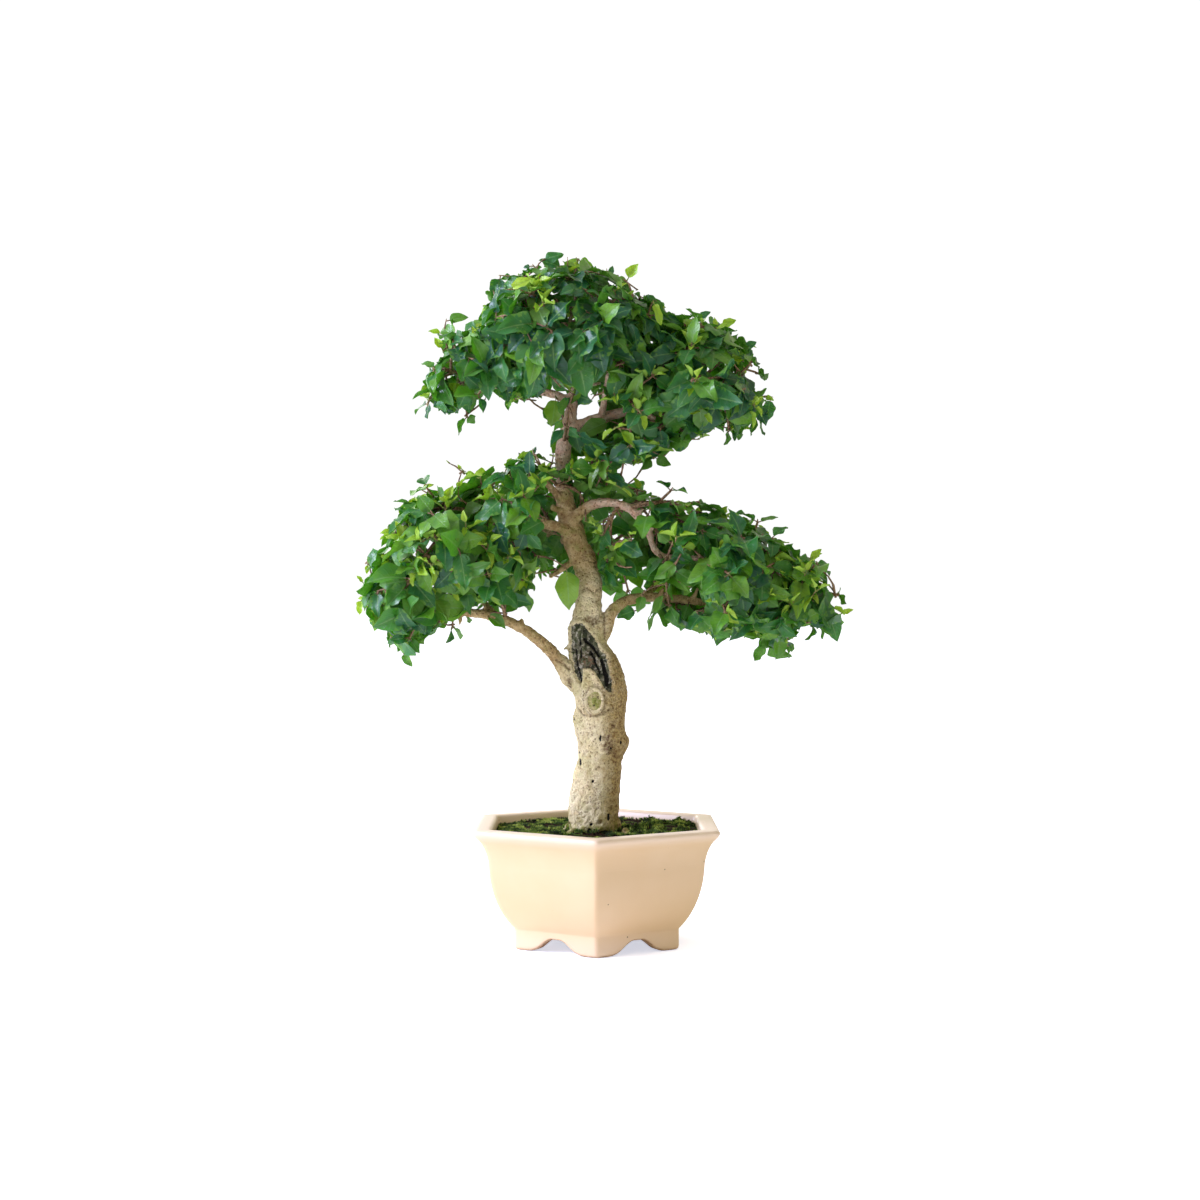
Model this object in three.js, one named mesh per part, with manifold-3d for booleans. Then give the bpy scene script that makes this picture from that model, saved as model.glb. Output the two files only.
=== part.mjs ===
// Privet bonsai in a hexagonal pot on six feet.
// Millimetres, +Z up, seen along +Y. Places are measured from the pot's axis, on the ground.
import * as THREE from 'three';
import { mergeVertices } from 'three/addons/utils/BufferGeometryUtils.js';
import Module from 'manifold-3d';

const wasm = await Module();
wasm.setup();

// Clearance between neighbouring pieces
const gap = 0.3;

// Pot: radii run from the axis to the hexagon's corners
const potSides = 6;
const footRadius = 83.4;
const footHeight = 18.3;
const bellyRadius = 109;
const bellyHeight = 77;
const rimRadius = 124;
const rimHeight = 103;
const rimTopRadius = 120;
const mouthRadius = 107;
const potHeight = 107;
const wall = 7;
const floorUnder = 12;
const floorTop = 22;
const floorRadius = 78;
const ringInside = 70;
const drainRadius = 12;

// Arches between the feet, across each face of the foot ring
const archHeight = 12;
const archHalfWidth = 25;
const archTopHalfWidth = 4;

// Plastic mesh over the drain hole
const meshSize = 46;
const meshThickness = 1.2;
const meshHole = 9;
const meshPitch = 13;
const meshBed = 42;

// Soil and the plain round foot of the trunk that stands in it
const soilHeight = 99;
const soilRelief = 1.3;
const soilSegments = 12;
const trunkFoot = { x: -2.4, y: 0, radius: 22.2, bottom: 50, top: 102, sides: 16 };

// Limbs: stations along each one, as centre and radius
const limbs = {
  trunk: [
    [-2.4, 0, 101.5, 22], [-2.6, 0, 108, 22.6], [-2.8, 0, 122, 22.1], [0.9, 0, 150, 21.6],
    [3, 0, 164, 20], [3.4, 0, 180, 21.4], [2.3, 0, 197, 22.6], [4.3, 1, 215, 22.6],
    [3.4, 1, 230, 22.8], [-2, 2, 246, 22.2], [-6.6, 3, 260, 18.6], [-9.4, 4, 274, 15.6],
    [-9.3, 5, 287, 13.4], [-7, 5, 301, 12], [-7.4, 6, 322, 11.3], [-10.9, 6, 341, 11],
    [-18.6, 7, 356, 11], [-22.6, 8, 372, 10.8], [-27, 9, 388, 9], [-30.2, 10, 412, 7.6],
    [-30.4, 9, 441, 7.2], [-27, 7, 457, 6.4], [-22, 5, 486, 5.2], [-23, 2, 520, 3.8],
    [-26, 0, 552, 2.6],
  ],
  lowLeft: [
    [-12, 0, 230, 8], [-26, -3, 242, 7.2], [-36, -7, 255, 6.2], [-46.5, -10, 266.5, 5.5],
    [-64, -15, 280, 4.9], [-76, -18, 286.4, 4.7], [-88, -20, 290.5, 4.4], [-102, -20, 294.4, 4.1],
    [-118, -18, 295.5, 3.7], [-134, -14, 295, 3.2], [-158, -6, 303, 2.5], [-176, 2, 314, 1.8],
  ],
  lowLeftRear: [[-90, -20, 293, 3], [-104, -4, 308, 2.6], [-116, 22, 322, 2.2], [-122, 42, 334, 1.8]],
  midLeft: [
    [-18, 4, 362, 6.5], [-30, -4, 370.4, 5], [-41, -9, 373.8, 4.4], [-54, -13, 374.9, 3.8],
    [-66, -16, 375, 3.2], [-84, -18, 380, 2.6], [-104, -16, 386, 2],
  ],
  midLeftFront: [[-50, -12, 375, 3], [-58, -32, 382, 2.6], [-64, -52, 386, 2]],
  highLeft: [[-27, 9, 392, 4.5], [-36, 0, 402, 3.6], [-44, -14, 410, 2.8], [-50, -28, 414, 2]],
  rearLeft: [[-17, 8, 352, 5], [-30, 26, 360, 4], [-48, 48, 370, 3.2], [-66, 68, 378, 2.2]],
  deadStub: [[-22, 8, 342, 3.4], [-33, 18, 334, 2.6], [-43, 24, 328, 2]],
  shortStub: [[-27, 6, 382, 4], [-35, 0, 387.5, 3.2], [-41, -4, 390.4, 2.8]],
  highRight: [
    [-26, 6, 374, 6.5], [-18.7, -1, 381.5, 5.6], [-5.8, -8, 391.4, 4.8], [10.2, -13, 393.8, 4.2],
    [24, -17, 390.6, 3.9], [34, -18, 384, 3.6], [45, -18, 370.8, 3.2], [50, -18, 355, 3],
    [58, -16, 346.5, 2.9], [74, -14, 344, 2.7], [93, -12, 345, 2.4], [116, -12, 352, 2],
  ],
  highRightTop: [[28, -17, 388.6, 3], [44, -10, 393, 2.6], [62, 0, 392, 2.2], [80, 8, 388, 1.8]],
  lowRight: [
    [-2, 4, 262, 9], [6, 3, 279, 7.4], [11.4, 3, 292.6, 6.2], [19, 4, 301.4, 5.4],
    [31, 5, 307, 4.8], [47.4, 6, 309.6, 4.3], [63.5, 7, 308.4, 4], [78, 7, 307.4, 3.6],
    [92, 6, 305, 3.3], [112, 4, 307, 2.9], [136, 2, 312, 2.5], [160, 2, 320, 1.9],
  ],
  lowRightRear: [[40, 6, 308.5, 3.4], [52, 24, 318, 2.8], [66, 46, 328, 2.4], [78, 64, 334, 1.8]],
  rear: [[-8, 8, 322, 6], [-4, 24, 332, 4.6], [2, 48, 346, 3.6], [8, 76, 356, 2.4]],
  crownRight: [
    [-27, 8, 456, 5.6], [-16, 5, 464, 5.2], [2, 2, 470.6, 4.8], [24, 0, 476, 4.3], [44, -3, 482, 3.7],
    [66, -4, 492, 3.1], [92, -4, 502, 2.3],
  ],
  crownLeft: [
    [-22, 5, 484, 4.2], [-38, 2, 492, 3.8], [-64, 2, 496, 3.2], [-92, 4, 500, 2.6], [-116, 6, 506, 1.9],
  ],
  crownFront: [[4, 2, 471, 3.6], [6, -18, 480, 3], [8, -42, 492, 2.5], [10, -64, 502, 1.9]],
  crownRear: [[-23, 4, 495, 3.8], [-14, 26, 502, 3.2], [-4, 52, 508, 2.6], [6, 78, 512, 1.9]],
  crownUnder: [[26, 0, 476, 3.2], [38, -12, 474, 2.8], [52, -24, 468, 2.2]],
};
const limbSides = { trunk: 12 };
const limbRings = { trunk: 26 };
const branchSides = 5;

// Share of a limb that bears no spray, from its root on
const bareShare = { trunk: 0.76, lowLeft: 0.45, lowRight: 0.35, deadStub: 1, shortStub: 1 };
const bareElsewhere = 0.3;
const twigSides = 3;

// Swellings and hollows of the trunk: centre, reach along each axis, and rise of the surface
const trunkForms = [
  { at: [26, -4, 178], reach: [10, 12, 9], rise: 4.5 },
  { at: [-20, -6, 201], reach: [8, 12, 7], rise: 2 },
  { at: [-16, -8, 226], reach: [9, 12, 10], rise: 4 },
  { at: [-2.5, -20, 216], reach: [10, 12, 10], rise: 3.4 },
  { at: [-6, -16, 262], reach: [7, 14, 22], rise: -7 },
  { at: [-18, -12, 256], reach: [7, 10, 18], rise: 2.4 },
  { at: [9, -12, 250], reach: [8, 10, 18], rise: 2.4 },
  { at: [-20, -12, 113], reach: [10, 14, 6], rise: 1.6 },
  { at: [0, 22, 113], reach: [16, 10, 6], rise: 1.6 },
];

// Foliage masses: centre, radii to the tips of their sprays, and the band that the tips lie in,
// as angles from straight up. A tip within the buried share of another mass is left to that one
const masses = [
  { name: 'crown_top', centre: [-24, 0, 526], radii: [96, 90, 75], band: [0, 1.5] },
  { name: 'crown_left', centre: [-108, 4, 504], radii: [40, 60, 40], band: [0.3, 1.7] },
  { name: 'crown_right', centre: [86, 0, 498], radii: [56, 82, 59], band: [0, 2] },
  { name: 'crown_under', centre: [26, -8, 474], radii: [64, 64, 35], band: [1.6, 2.8] },
  { name: 'left_high', centre: [-62, -6, 383], radii: [56, 66, 42], band: [0, 1.8] },
  { name: 'left_mid', centre: [-122, 0, 350], radii: [66, 78, 52], band: [0, 2] },
  { name: 'left_tip', centre: [-165, 0, 308], radii: [38, 58, 42], band: [0.4, 2.5] },
  { name: 'left_under', centre: [-92, -10, 350], radii: [40, 60, 38], band: [1.6, 2.5] },
  { name: 'left_rear', centre: [-80, 60, 360], radii: [60, 44, 46], band: [0, 2] },
  { name: 'right_high', centre: [62, -2, 354], radii: [64, 68, 44], band: [0, 2] },
  { name: 'right_mid', centre: [120, 0, 328], radii: [64, 76, 46], band: [0, 2] },
  { name: 'right_tip', centre: [167, 0, 308], radii: [40, 58, 38], band: [0.4, 2.4] },
  { name: 'right_under', centre: [138, -4, 316], radii: [70, 58, 34], band: [1.6, 2.6] },
  { name: 'rear', centre: [10, 74, 352], radii: [70, 46, 48], band: [0, 2] },
];
const buried = 0.8;

// Sprays: a main shoot from a limb to its tip, side shoots round the tip, and leaves in
// opposite pairs
const sprayCount = 55;
const placesPerMass = 48;
const firstTurn = 2;
const shortestSpray = 34;
const rootAttempts = 6;
const latestStart = 0.5;
const goldenAngle = Math.PI * (3 - Math.sqrt(5));
const sideShoots = 6;
const sideShootsHere = [1, 4];
const sideStart = 0.5;
const sharpestFork = 0.2;
const sideReach = [22, 14];
const sideDrop = [4, 8];
const pairsOnShoot = 2;
const pairSpacing = 13;
const leavesPerSpray = 8;
const mainRadii = [2, 1.7, 1.4];
const sideRadii = [1.4, 1.3, 1.2];
const jointLength = 2.4;

// Leaf: shortest length and spread, widths as shares of the length, thickness, fold and wave
const leafLength = [22, 11];
const leafStations = [0.22, 0.52, 0.8];
const leafHalfWidths = [0.25, 0.34, 0.2];
const leafThickness = 0.6;
const leafFold = 0.3;
const leafWave = 0.05;
const leafDroop = 0.12;
const petiole = 3.5;

const potColour = 0xf2dfc0;
const meshColour = 0x2b2d2b;
const soilColour = 0x4c5a24;
const woodColour = 0xbba883;
const leafColours = [0x2f6b2f, 0x3f7d2c, 0x26592f];

const up = new THREE.Vector3(0, 0, 1);

// Solids from geometries and back

function toSolid(geometry) {
  geometry.deleteAttribute('normal');
  geometry.deleteAttribute('uv');
  const merged = mergeVertices(geometry, 1e-4);
  const vertProperties = new Float32Array(merged.attributes.position.array);
  const triVerts = new Uint32Array(merged.index.array);
  return new wasm.Manifold(new wasm.Mesh({ numProp: 3, vertProperties, triVerts }));
}

function toGeometry(solid) {
  const mesh = solid.getMesh();
  const geometry = new THREE.BufferGeometry();
  geometry.setAttribute('position', new THREE.BufferAttribute(mesh.vertProperties, 3));
  geometry.setIndex(new THREE.BufferAttribute(mesh.triVerts, 1));
  geometry.computeVertexNormals();
  return geometry;
}

function moveVertices(geometry, move) {
  const place = geometry.attributes.position;
  const point = new THREE.Vector3();
  for (let i = 0; i < place.count; i += 1) {
    point.fromBufferAttribute(place, i);
    move(point, i);
    place.setXYZ(i, point.x, point.y, point.z);
  }
  return geometry;
}

// A closed profile turned about +Z; with six segments its first corner faces -Y
function turned(profile, segments) {
  return new THREE.LatheGeometry(profile, segments).rotateX(Math.PI / 2);
}

// Pot

function potProfile() {
  const path = new THREE.Path();
  path.moveTo(0, floorUnder);
  path.lineTo(ringInside, floorUnder);
  path.lineTo(ringInside + 1, 0);
  path.lineTo(footRadius - 1, 0);
  path.lineTo(footRadius, 1);
  path.lineTo(footRadius, footHeight);
  const belly = [bellyRadius, bellyHeight];
  path.bezierCurveTo(footRadius + 13, footHeight + 12, bellyRadius - 1, bellyHeight - 27, ...belly);
  const underRim = [rimRadius - 2, rimHeight - 2.2];
  path.bezierCurveTo(bellyRadius, bellyHeight + 11, rimRadius - 10, rimHeight - 9.5, ...underRim);
  path.lineTo(rimRadius, rimHeight);
  path.lineTo(rimRadius - 1.2, rimHeight + 2);
  path.lineTo(rimTopRadius, potHeight - 1.2);
  path.lineTo(mouthRadius + 1.5, potHeight);
  path.lineTo(mouthRadius - 0.5, potHeight - 1);
  path.lineTo(bellyRadius - wall, bellyHeight);
  path.quadraticCurveTo(bellyRadius - wall, floorTop + 18, floorRadius, floorTop);
  path.lineTo(0, floorTop);
  return path.getPoints(4);
}

function archShape() {
  const shape = new THREE.Shape();
  const middle = archHalfWidth * 0.6;
  shape.moveTo(-archHalfWidth - 4, -2);
  shape.lineTo(-archHalfWidth - 4, 0);
  shape.quadraticCurveTo(-archHalfWidth + 4, 0, -middle, archHeight * 0.45);
  shape.quadraticCurveTo(-archTopHalfWidth - 5, archHeight, -archTopHalfWidth, archHeight);
  shape.lineTo(archTopHalfWidth, archHeight);
  shape.quadraticCurveTo(archTopHalfWidth + 5, archHeight, middle, archHeight * 0.45);
  shape.quadraticCurveTo(archHalfWidth - 4, 0, archHalfWidth + 4, 0);
  shape.lineTo(archHalfWidth + 4, -2);
  return shape;
}

function makePot() {
  let pot = toSolid(turned(potProfile(), potSides));
  const across = { depth: 2 * footRadius, bevelEnabled: false, curveSegments: 3 };
  const arch = new THREE.ExtrudeGeometry(archShape(), across);
  arch.rotateX(Math.PI / 2).translate(0, footRadius, 0);
  for (let i = 0; i < potSides / 2; i += 1) {
    const passage = arch.clone().rotateZ(Math.PI / 6 + i * Math.PI / 3);
    pot = pot.subtract(toSolid(passage));
  }
  const drain = new THREE.CylinderGeometry(drainRadius, drainRadius, 3 * floorTop, 20).rotateX(Math.PI / 2);
  return toGeometry(pot.subtract(toSolid(drain)));
}

function makeDrainMesh() {
  let sheet = toSolid(new THREE.BoxGeometry(meshSize, meshSize, meshThickness));
  for (const row of [-1, 0, 1]) {
    for (const column of [-1, 0, 1]) {
      const hole = new THREE.BoxGeometry(meshHole, meshHole, 3 * meshThickness);
      sheet = sheet.subtract(toSolid(hole.translate(column * meshPitch, row * meshPitch, 0)));
    }
  }
  return toGeometry(sheet);
}

// Soil

// Share of the corner radius that a hexagon reaches at an angle from a corner
function hexShare(angle) {
  const turn = THREE.MathUtils.euclideanModulo(angle, Math.PI / 3) - Math.PI / 6;
  return Math.cos(Math.PI / 6) / Math.cos(turn);
}

function soilTop(x, y) {
  return soilRelief * Math.sin(x / 15 + 0.8) * Math.cos(y / 12 - 0.4);
}

function makeSoil() {
  const inner = bellyRadius - wall - gap;
  const mouth = mouthRadius - 0.5 - gap;
  const topEdge = THREE.MathUtils.mapLinear(soilHeight, bellyHeight, potHeight - 1, inner, mouth);
  const side = new THREE.Path();
  side.moveTo(0, floorTop + meshThickness + 2 * gap);
  side.lineTo(meshBed, floorTop + meshThickness + 2 * gap);
  side.lineTo(meshBed + 1, floorTop + gap);
  side.lineTo(floorRadius - 1.5, floorTop + gap);
  side.quadraticCurveTo(inner - 0.4, floorTop + 18, inner, bellyHeight);
  side.lineTo(topEdge, soilHeight);
  for (const share of [0.7, 0.45]) {
    side.lineTo(topEdge * share, soilHeight);
  }
  side.lineTo(0, soilHeight);
  const geometry = turned(side.getPoints(4), soilSegments);
  moveVertices(geometry, (point) => {
    const share = hexShare(Math.atan2(point.x, -point.y));
    const isTop = point.z > soilHeight - 0.01;
    const isEdge = Math.hypot(point.x, point.y) > topEdge - 0.1;
    point.x *= share;
    point.y *= share;
    if (isTop && !isEdge) {
      point.z += soilTop(point.x, point.y);
    }
  });
  return toGeometry(toSolid(geometry).subtract(trunkFootSolid(gap)));
}

// Limbs and trunk

// A tapering limb through its stations, closed at both ends
function grown(stations, sides, rings, extra = 0) {
  const curve = curveOf(stations);
  const frames = curve.computeFrenetFrames(rings);
  const geometry = new THREE.CylinderGeometry(1, 1, rings, sides, rings);
  return moveVertices(geometry, (point) => {
    const ring = Math.round(point.y + rings / 2);
    const at = curve.getUtoTmapping(ring / rings);
    const reach = radiusAt(stations, at) + extra;
    const across = frames.normals[ring].clone().multiplyScalar(point.x * reach);
    const along = frames.binormals[ring].clone().multiplyScalar(-point.z * reach);
    point.copy(curve.getPoint(at)).add(across).add(along);
  });
}

function curveOf(stations) {
  const points = stations.map(([x, y, z]) => new THREE.Vector3(x, y, z));
  return new THREE.CatmullRomCurve3(points, false, 'catmullrom', 0.5);
}

function radiusAt(stations, at) {
  const place = at * (stations.length - 1);
  const before = Math.min(Math.floor(place), stations.length - 2);
  return THREE.MathUtils.lerp(stations[before][3], stations[before + 1][3], place - before);
}

function trunkFootSolid(extra) {
  const height = trunkFoot.top - trunkFoot.bottom;
  const radius = trunkFoot.radius + extra;
  const foot = new THREE.CylinderGeometry(radius, radius, height + 2 * extra, trunkFoot.sides);
  foot.rotateX(Math.PI / 2).translate(trunkFoot.x, trunkFoot.y, trunkFoot.bottom + height / 2);
  return toSolid(foot);
}

// Moves the trunk's surface out over its knots and in at its hollow
function shapeTrunk(geometry) {
  const centre = curveOf(limbs.trunk);
  const middles = centre.getSpacedPoints(120);
  return moveVertices(geometry, (point) => {
    let rise = 0;
    for (const form of trunkForms) {
      const dx = (point.x - form.at[0]) / form.reach[0];
      const dy = (point.y - form.at[1]) / form.reach[1];
      const dz = (point.z - form.at[2]) / form.reach[2];
      rise += form.rise * Math.exp(-(dx * dx + dy * dy + dz * dz));
    }
    const closer = (a, b) => (a.distanceToSquared(point) < b.distanceToSquared(point) ? a : b);
    const nearest = middles.reduce(closer);
    const outward = point.clone().sub(nearest).setZ(0);
    point.addScaledVector(outward.normalize(), rise);
  });
}

function makeWood(extra = 0) {
  const solids = Object.entries(limbs).map(([name, stations]) => {
    const rings = limbRings[name] ?? stations.length - 1;
    const geometry = grown(stations, limbSides[name] ?? branchSides, rings, extra);
    return toSolid(name === 'trunk' ? shapeTrunk(geometry) : geometry);
  });
  solids.push(trunkFootSolid(extra));
  return wasm.Manifold.union(solids);
}

// Sprays

// Repeatable draws from 0 to 1
function dice(seed) {
  const modulus = 2147483647;
  let state = (seed * 7919 + 17) % modulus;
  const draw = () => {
    state = (state * 48271) % modulus;
    return state / modulus;
  };
  draw();
  draw();
  return draw;
}

// Where a spray may start, the best place first: near its tip, on a limb that points its way
function rootsFor(tip) {
  const steps = 16;
  const places = Object.entries(limbs).flatMap(([name, stations]) => {
    const curve = curveOf(stations);
    const bare = bareShare[name] ?? bareElsewhere;
    return Array.from({ length: steps }, (_, i) => {
      const at = THREE.MathUtils.lerp(bare, 1, (i + 1) / steps);
      const point = curve.getPoint(at);
      const away = tip.clone().sub(point);
      const length = away.length();
      return { point, length, cost: 1.6 * length - 0.6 * curve.getTangent(at).dot(away) };
    });
  });
  const long = places.filter((place) => place.length > shortestSpray);
  return long.sort((a, b) => a.cost - b.cost).map((place) => place.point);
}

function isBuried(tip, mass) {
  return masses.some((other) => {
    if (other === mass) {
      return false;
    }
    const away = new THREE.Vector3(...other.centre).sub(tip);
    return away.divide(new THREE.Vector3(...other.radii)).length() < buried;
  });
}

// Leaves in opposite pairs, from the end of a shoot backwards, each pair turned a quarter from the last
function pairsOn(shoot, outward, draw) {
  const places = Array.from({ length: pairsOnShoot }, (_, i) => jointLength + pairSpacing * i);
  return places.filter((place) => place < 0.8 * shoot.length).map((place, i) => {
    const at = 1 - place / shoot.length;
    const frame = frameAt(shoot, at);
    const turn = i * Math.PI / 2 + (draw() - 0.5) * 1.2;
    const across = frame.side.clone().multiplyScalar(Math.cos(turn));
    across.addScaledVector(frame.rise, Math.sin(turn));
    const lean = new THREE.Vector3().crossVectors(frame.ahead, across);
    lean.multiplyScalar(lean.dot(outward) < 0 ? -1 : 1);
    const leaves = [-1, 1].map((hand) => {
      const along = frame.ahead.clone().multiplyScalar(0.45);
      along.addScaledVector(across, hand * 0.85).addScaledVector(lean, 0.3);
      along.addScaledVector(up, -0.1 - 0.2 * draw()).normalize();
      const face = outward.clone().multiplyScalar(0.8).addScaledVector(up, 0.55);
      face.x += (draw() - 0.5) * 0.7;
      face.y += (draw() - 0.5) * 0.7;
      face.addScaledVector(along, -face.dot(along)).normalize();
      const size = (leafLength[0] + leafLength[1] * draw()) * (i === 0 ? 0.8 : 1);
      const wave = leafWave * (draw() < 0.5 ? -1 : 1);
      return { base: frame.centre, along, face, size, wave };
    });
    return { at, lean, leaves, kept: [] };
  });
}

// A shoot through three points, with a direction square to its chord that its frames are laid by
function shootThrough(points, radii, outward) {
  const stations = points.map((point, i) => [point.x, point.y, point.z, radii[i]]);
  const curve = curveOf(stations);
  const chord = points[2].clone().sub(points[0]).normalize();
  const reference = outward.clone().addScaledVector(chord, -outward.dot(chord));
  if (reference.length() < 0.4) {
    reference.crossVectors(chord, Math.abs(chord.z) > 0.8 ? new THREE.Vector3(0, 1, 0) : up);
  }
  return { stations, curve, length: curve.getLength(), reference: reference.normalize() };
}

function frameAt(shoot, at) {
  const ahead = shoot.curve.getTangent(at);
  const side = new THREE.Vector3().crossVectors(ahead, shoot.reference).normalize();
  const rise = new THREE.Vector3().crossVectors(side, ahead);
  return { centre: shoot.curve.getPoint(at), ahead, side, rise };
}

// Places for spray tips all over a mass
function tipsOn(mass, massIndex) {
  const [from, to] = mass.band.map(Math.cos);
  const radii = new THREE.Vector3(...mass.radii);
  const places = Array.from({ length: placesPerMass }, (_, k) => {
    const polar = Math.acos(THREE.MathUtils.lerp(from, to, (k + 0.5) / placesPerMass));
    const turn = k * goldenAngle + massIndex + firstTurn;
    const flat = Math.sin(polar);
    const direction = new THREE.Vector3(flat * Math.sin(turn), flat * Math.cos(turn), Math.cos(polar));
    const tip = direction.clone().multiply(radii).add(new THREE.Vector3(...mass.centre));
    const outward = direction.divide(radii).normalize();
    return { mass, tip, outward, seed: massIndex * 1000 + k * 10 };
  });
  return places.filter((place) => !isBuried(place.tip, mass));
}

function growSpray({ tip, outward, seed }, root) {
  const middle = root.clone().lerp(tip, 0.55).addScaledVector(up, 0.08 * root.distanceTo(tip));
  const main = shootThrough([root, middle, tip], mainRadii, outward);
  const clear = sideStart + 2 * jointLength / main.length;
  main.pairs = pairsOn(main, outward, dice(seed)).filter((pair) => pair.at > clear);
  const start = main.curve.getPoint(sideStart);
  const heading = tip.clone().sub(root).normalize().add(outward).normalize();
  const level = Math.abs(heading.z) > 0.9 ? new THREE.Vector3(0, 1, 0) : up;
  const first = new THREE.Vector3().crossVectors(heading, level).normalize();
  const second = new THREE.Vector3().crossVectors(heading, first);
  const sides = sideShootsHere.map((i) => {
    const draw = dice(seed + i);
    const angle = i * 2 * Math.PI / sideShoots + draw() * 0.6;
    const spread = sideReach[0] + sideReach[1] * draw();
    const end = tip.clone().addScaledVector(first, Math.cos(angle) * spread);
    end.addScaledVector(second, Math.sin(angle) * spread);
    end.addScaledVector(heading, -sideDrop[0] - sideDrop[1] * draw());
    const bend = start.clone().lerp(end, 0.5).addScaledVector(heading, 3);
    const side = shootThrough([start, bend, end], sideRadii, outward);
    side.pairs = pairsOn(side, outward, draw);
    return side;
  });
  return { outward, main, sides };
}

// Top edge points of a leaf's blade, from its right side round the tip to its left, and those
// under them
function bladeOutline(leaf, extra) {
  const { base, along, face, size, wave } = leaf;
  const side = new THREE.Vector3().crossVectors(along, face);
  const thickness = leafThickness + 2 * extra;
  const place = (u, half, lift) => base.clone()
    .addScaledVector(along, petiole + u * (size + extra))
    .addScaledVector(side, half * size + Math.sign(half) * extra)
    .addScaledVector(face, lift * size - leafDroop * size * u * u + thickness / 2);
  const edge = (hand) => leafStations.map((u, i) => {
    const half = leafHalfWidths[i];
    return place(u, hand * half, leafFold * half + (i % 2 ? -1 : 1) * wave * hand);
  });
  const top = [...edge(1), place(1, 0, 0), ...edge(-1).reverse()];
  return { top, under: top.map((point) => point.clone().addScaledVector(face, -thickness)) };
}

// Faces of a blade that is open at its root, between its first and last edge points
function bladeFaces(count) {
  const tip = (count - 1) / 2;
  const faces = [];
  for (let i = 0; i < count; i += 1) {
    const next = (i + 1) % count;
    if (next !== 0) {
      faces.push([i, i + count, next + count], [i, next + count, next]);
    }
    if (i !== tip && next !== tip) {
      faces.push([tip, i, next], [tip + count, next + count, i + count]);
    }
  }
  return faces;
}

// A leaf as a solid of its own, grown by the clearance, for finding out what it would touch
function guardOf(leaf, withRoot) {
  const { top, under } = bladeOutline(leaf, gap);
  const points = [...top, ...under];
  const last = top.length - 1;
  const faces = bladeFaces(top.length);
  if (withRoot) {
    const root = points.push(leaf.base) - 1;
    faces.push([root, top.length, 0], [root, 0, last]);
    faces.push([root, last, last + top.length], [root, last + top.length, top.length]);
  } else {
    faces.push([0, last, last + top.length], [0, last + top.length, top.length]);
  }
  const geometry = new THREE.BufferGeometry().setFromPoints(points);
  geometry.setIndex(faces.flat());
  const solid = toSolid(geometry);
  return { solid, box: solid.boundingBox() };
}

function boxesMeet(a, b) {
  return [0, 1, 2].every((i) => a.min[i] <= b.max[i] && b.min[i] <= a.max[i]);
}

function meets(guard, others) {
  return others.some((other) => {
    return boxesMeet(guard.box, other.box) && !guard.solid.intersect(other.solid).isEmpty();
  });
}

// The skin of a spray is a closed list of points and triangles. Each new part of it grows out of
// a triangle that is already there
function angleOf(point, centre, frame) {
  const away = point.clone().sub(centre);
  return Math.atan2(away.dot(frame.side), away.dot(frame.rise));
}

// A loop of points, told as its indices with their angles, from the smallest angle on
function sorted(skin, loop, frame) {
  const centre = new THREE.Vector3();
  loop.forEach((index) => centre.addScaledVector(skin.points[index], 1 / loop.length));
  const list = loop.map((index) => ({ index, angle: angleOf(skin.points[index], centre, frame) }));
  const start = list.reduce((best, item, i) => (item.angle < list[best].angle ? i : best), 0);
  return [...list.slice(start), ...list.slice(0, start)];
}

// Joins two loops that run the same way round, and returns the faces between them
function bridge(skin, lower, upper, frame) {
  const a = sorted(skin, lower, frame);
  const b = sorted(skin, upper, frame);
  const angleAt = (list, i) => list[i % list.length].angle + (i >= list.length ? 2 * Math.PI : 0);
  const made = [];
  let i = 0;
  let j = 0;
  while (i < a.length || j < b.length) {
    const useLower = j === b.length || (i < a.length && angleAt(a, i + 1) < angleAt(b, j + 1));
    const from = a[i % a.length].index;
    const to = b[j % b.length].index;
    if (useLower) {
      i += 1;
      made.push([from, a[i % a.length].index, to]);
    } else {
      j += 1;
      made.push([from, b[j % b.length].index, to]);
    }
  }
  skin.faces.push(...made);
  return made;
}

// Three corners round a shoot, the first one on the side that its leaves lean to
function addRing(skin, shoot, at, lean) {
  const frame = frameAt(shoot, at);
  const first = Math.atan2(lean.dot(frame.side), lean.dot(frame.rise));
  const radius = radiusAt(shoot.stations, at);
  return [0, 1, 2].map((corner) => {
    const angle = first + corner * 2 * Math.PI / 3;
    const point = frame.centre.clone().addScaledVector(frame.rise, Math.cos(angle) * radius);
    return skin.points.push(point.addScaledVector(frame.side, Math.sin(angle) * radius)) - 1;
  });
}

// Takes the free patch that looks most in a direction off the skin, and returns its corners
function openPatch(skin, patches, direction) {
  const match = (patch) => facing(skin, patch.loop.slice(0, 3)).dot(direction);
  const best = patches.reduce((most, patch) => (match(patch) > match(most) ? patch : most));
  patches.splice(patches.indexOf(best), 1);
  skin.faces = skin.faces.filter((face) => !best.faces.includes(face));
  return best.loop;
}

function facing(skin, face) {
  const [a, b, c] = face.map((index) => skin.points[index]);
  return new THREE.Vector3().crossVectors(b.clone().sub(a), c.clone().sub(a)).normalize();
}

// Whether an edge of one face goes through another face that it doesn't end on
function pierces(skin, one, other) {
  return one.some((index, i) => {
    const next = one[(i + 1) % 3];
    if (other.includes(index) || other.includes(next)) {
      return false;
    }
    const from = skin.points[index];
    const way = skin.points[next].clone().sub(from);
    const corners = other.map((corner) => skin.points[corner]);
    const hit = new THREE.Ray(from, way).intersectTriangle(...corners, false, new THREE.Vector3());
    return hit !== null && hit.distanceTo(from) < way.length();
  });
}

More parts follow.
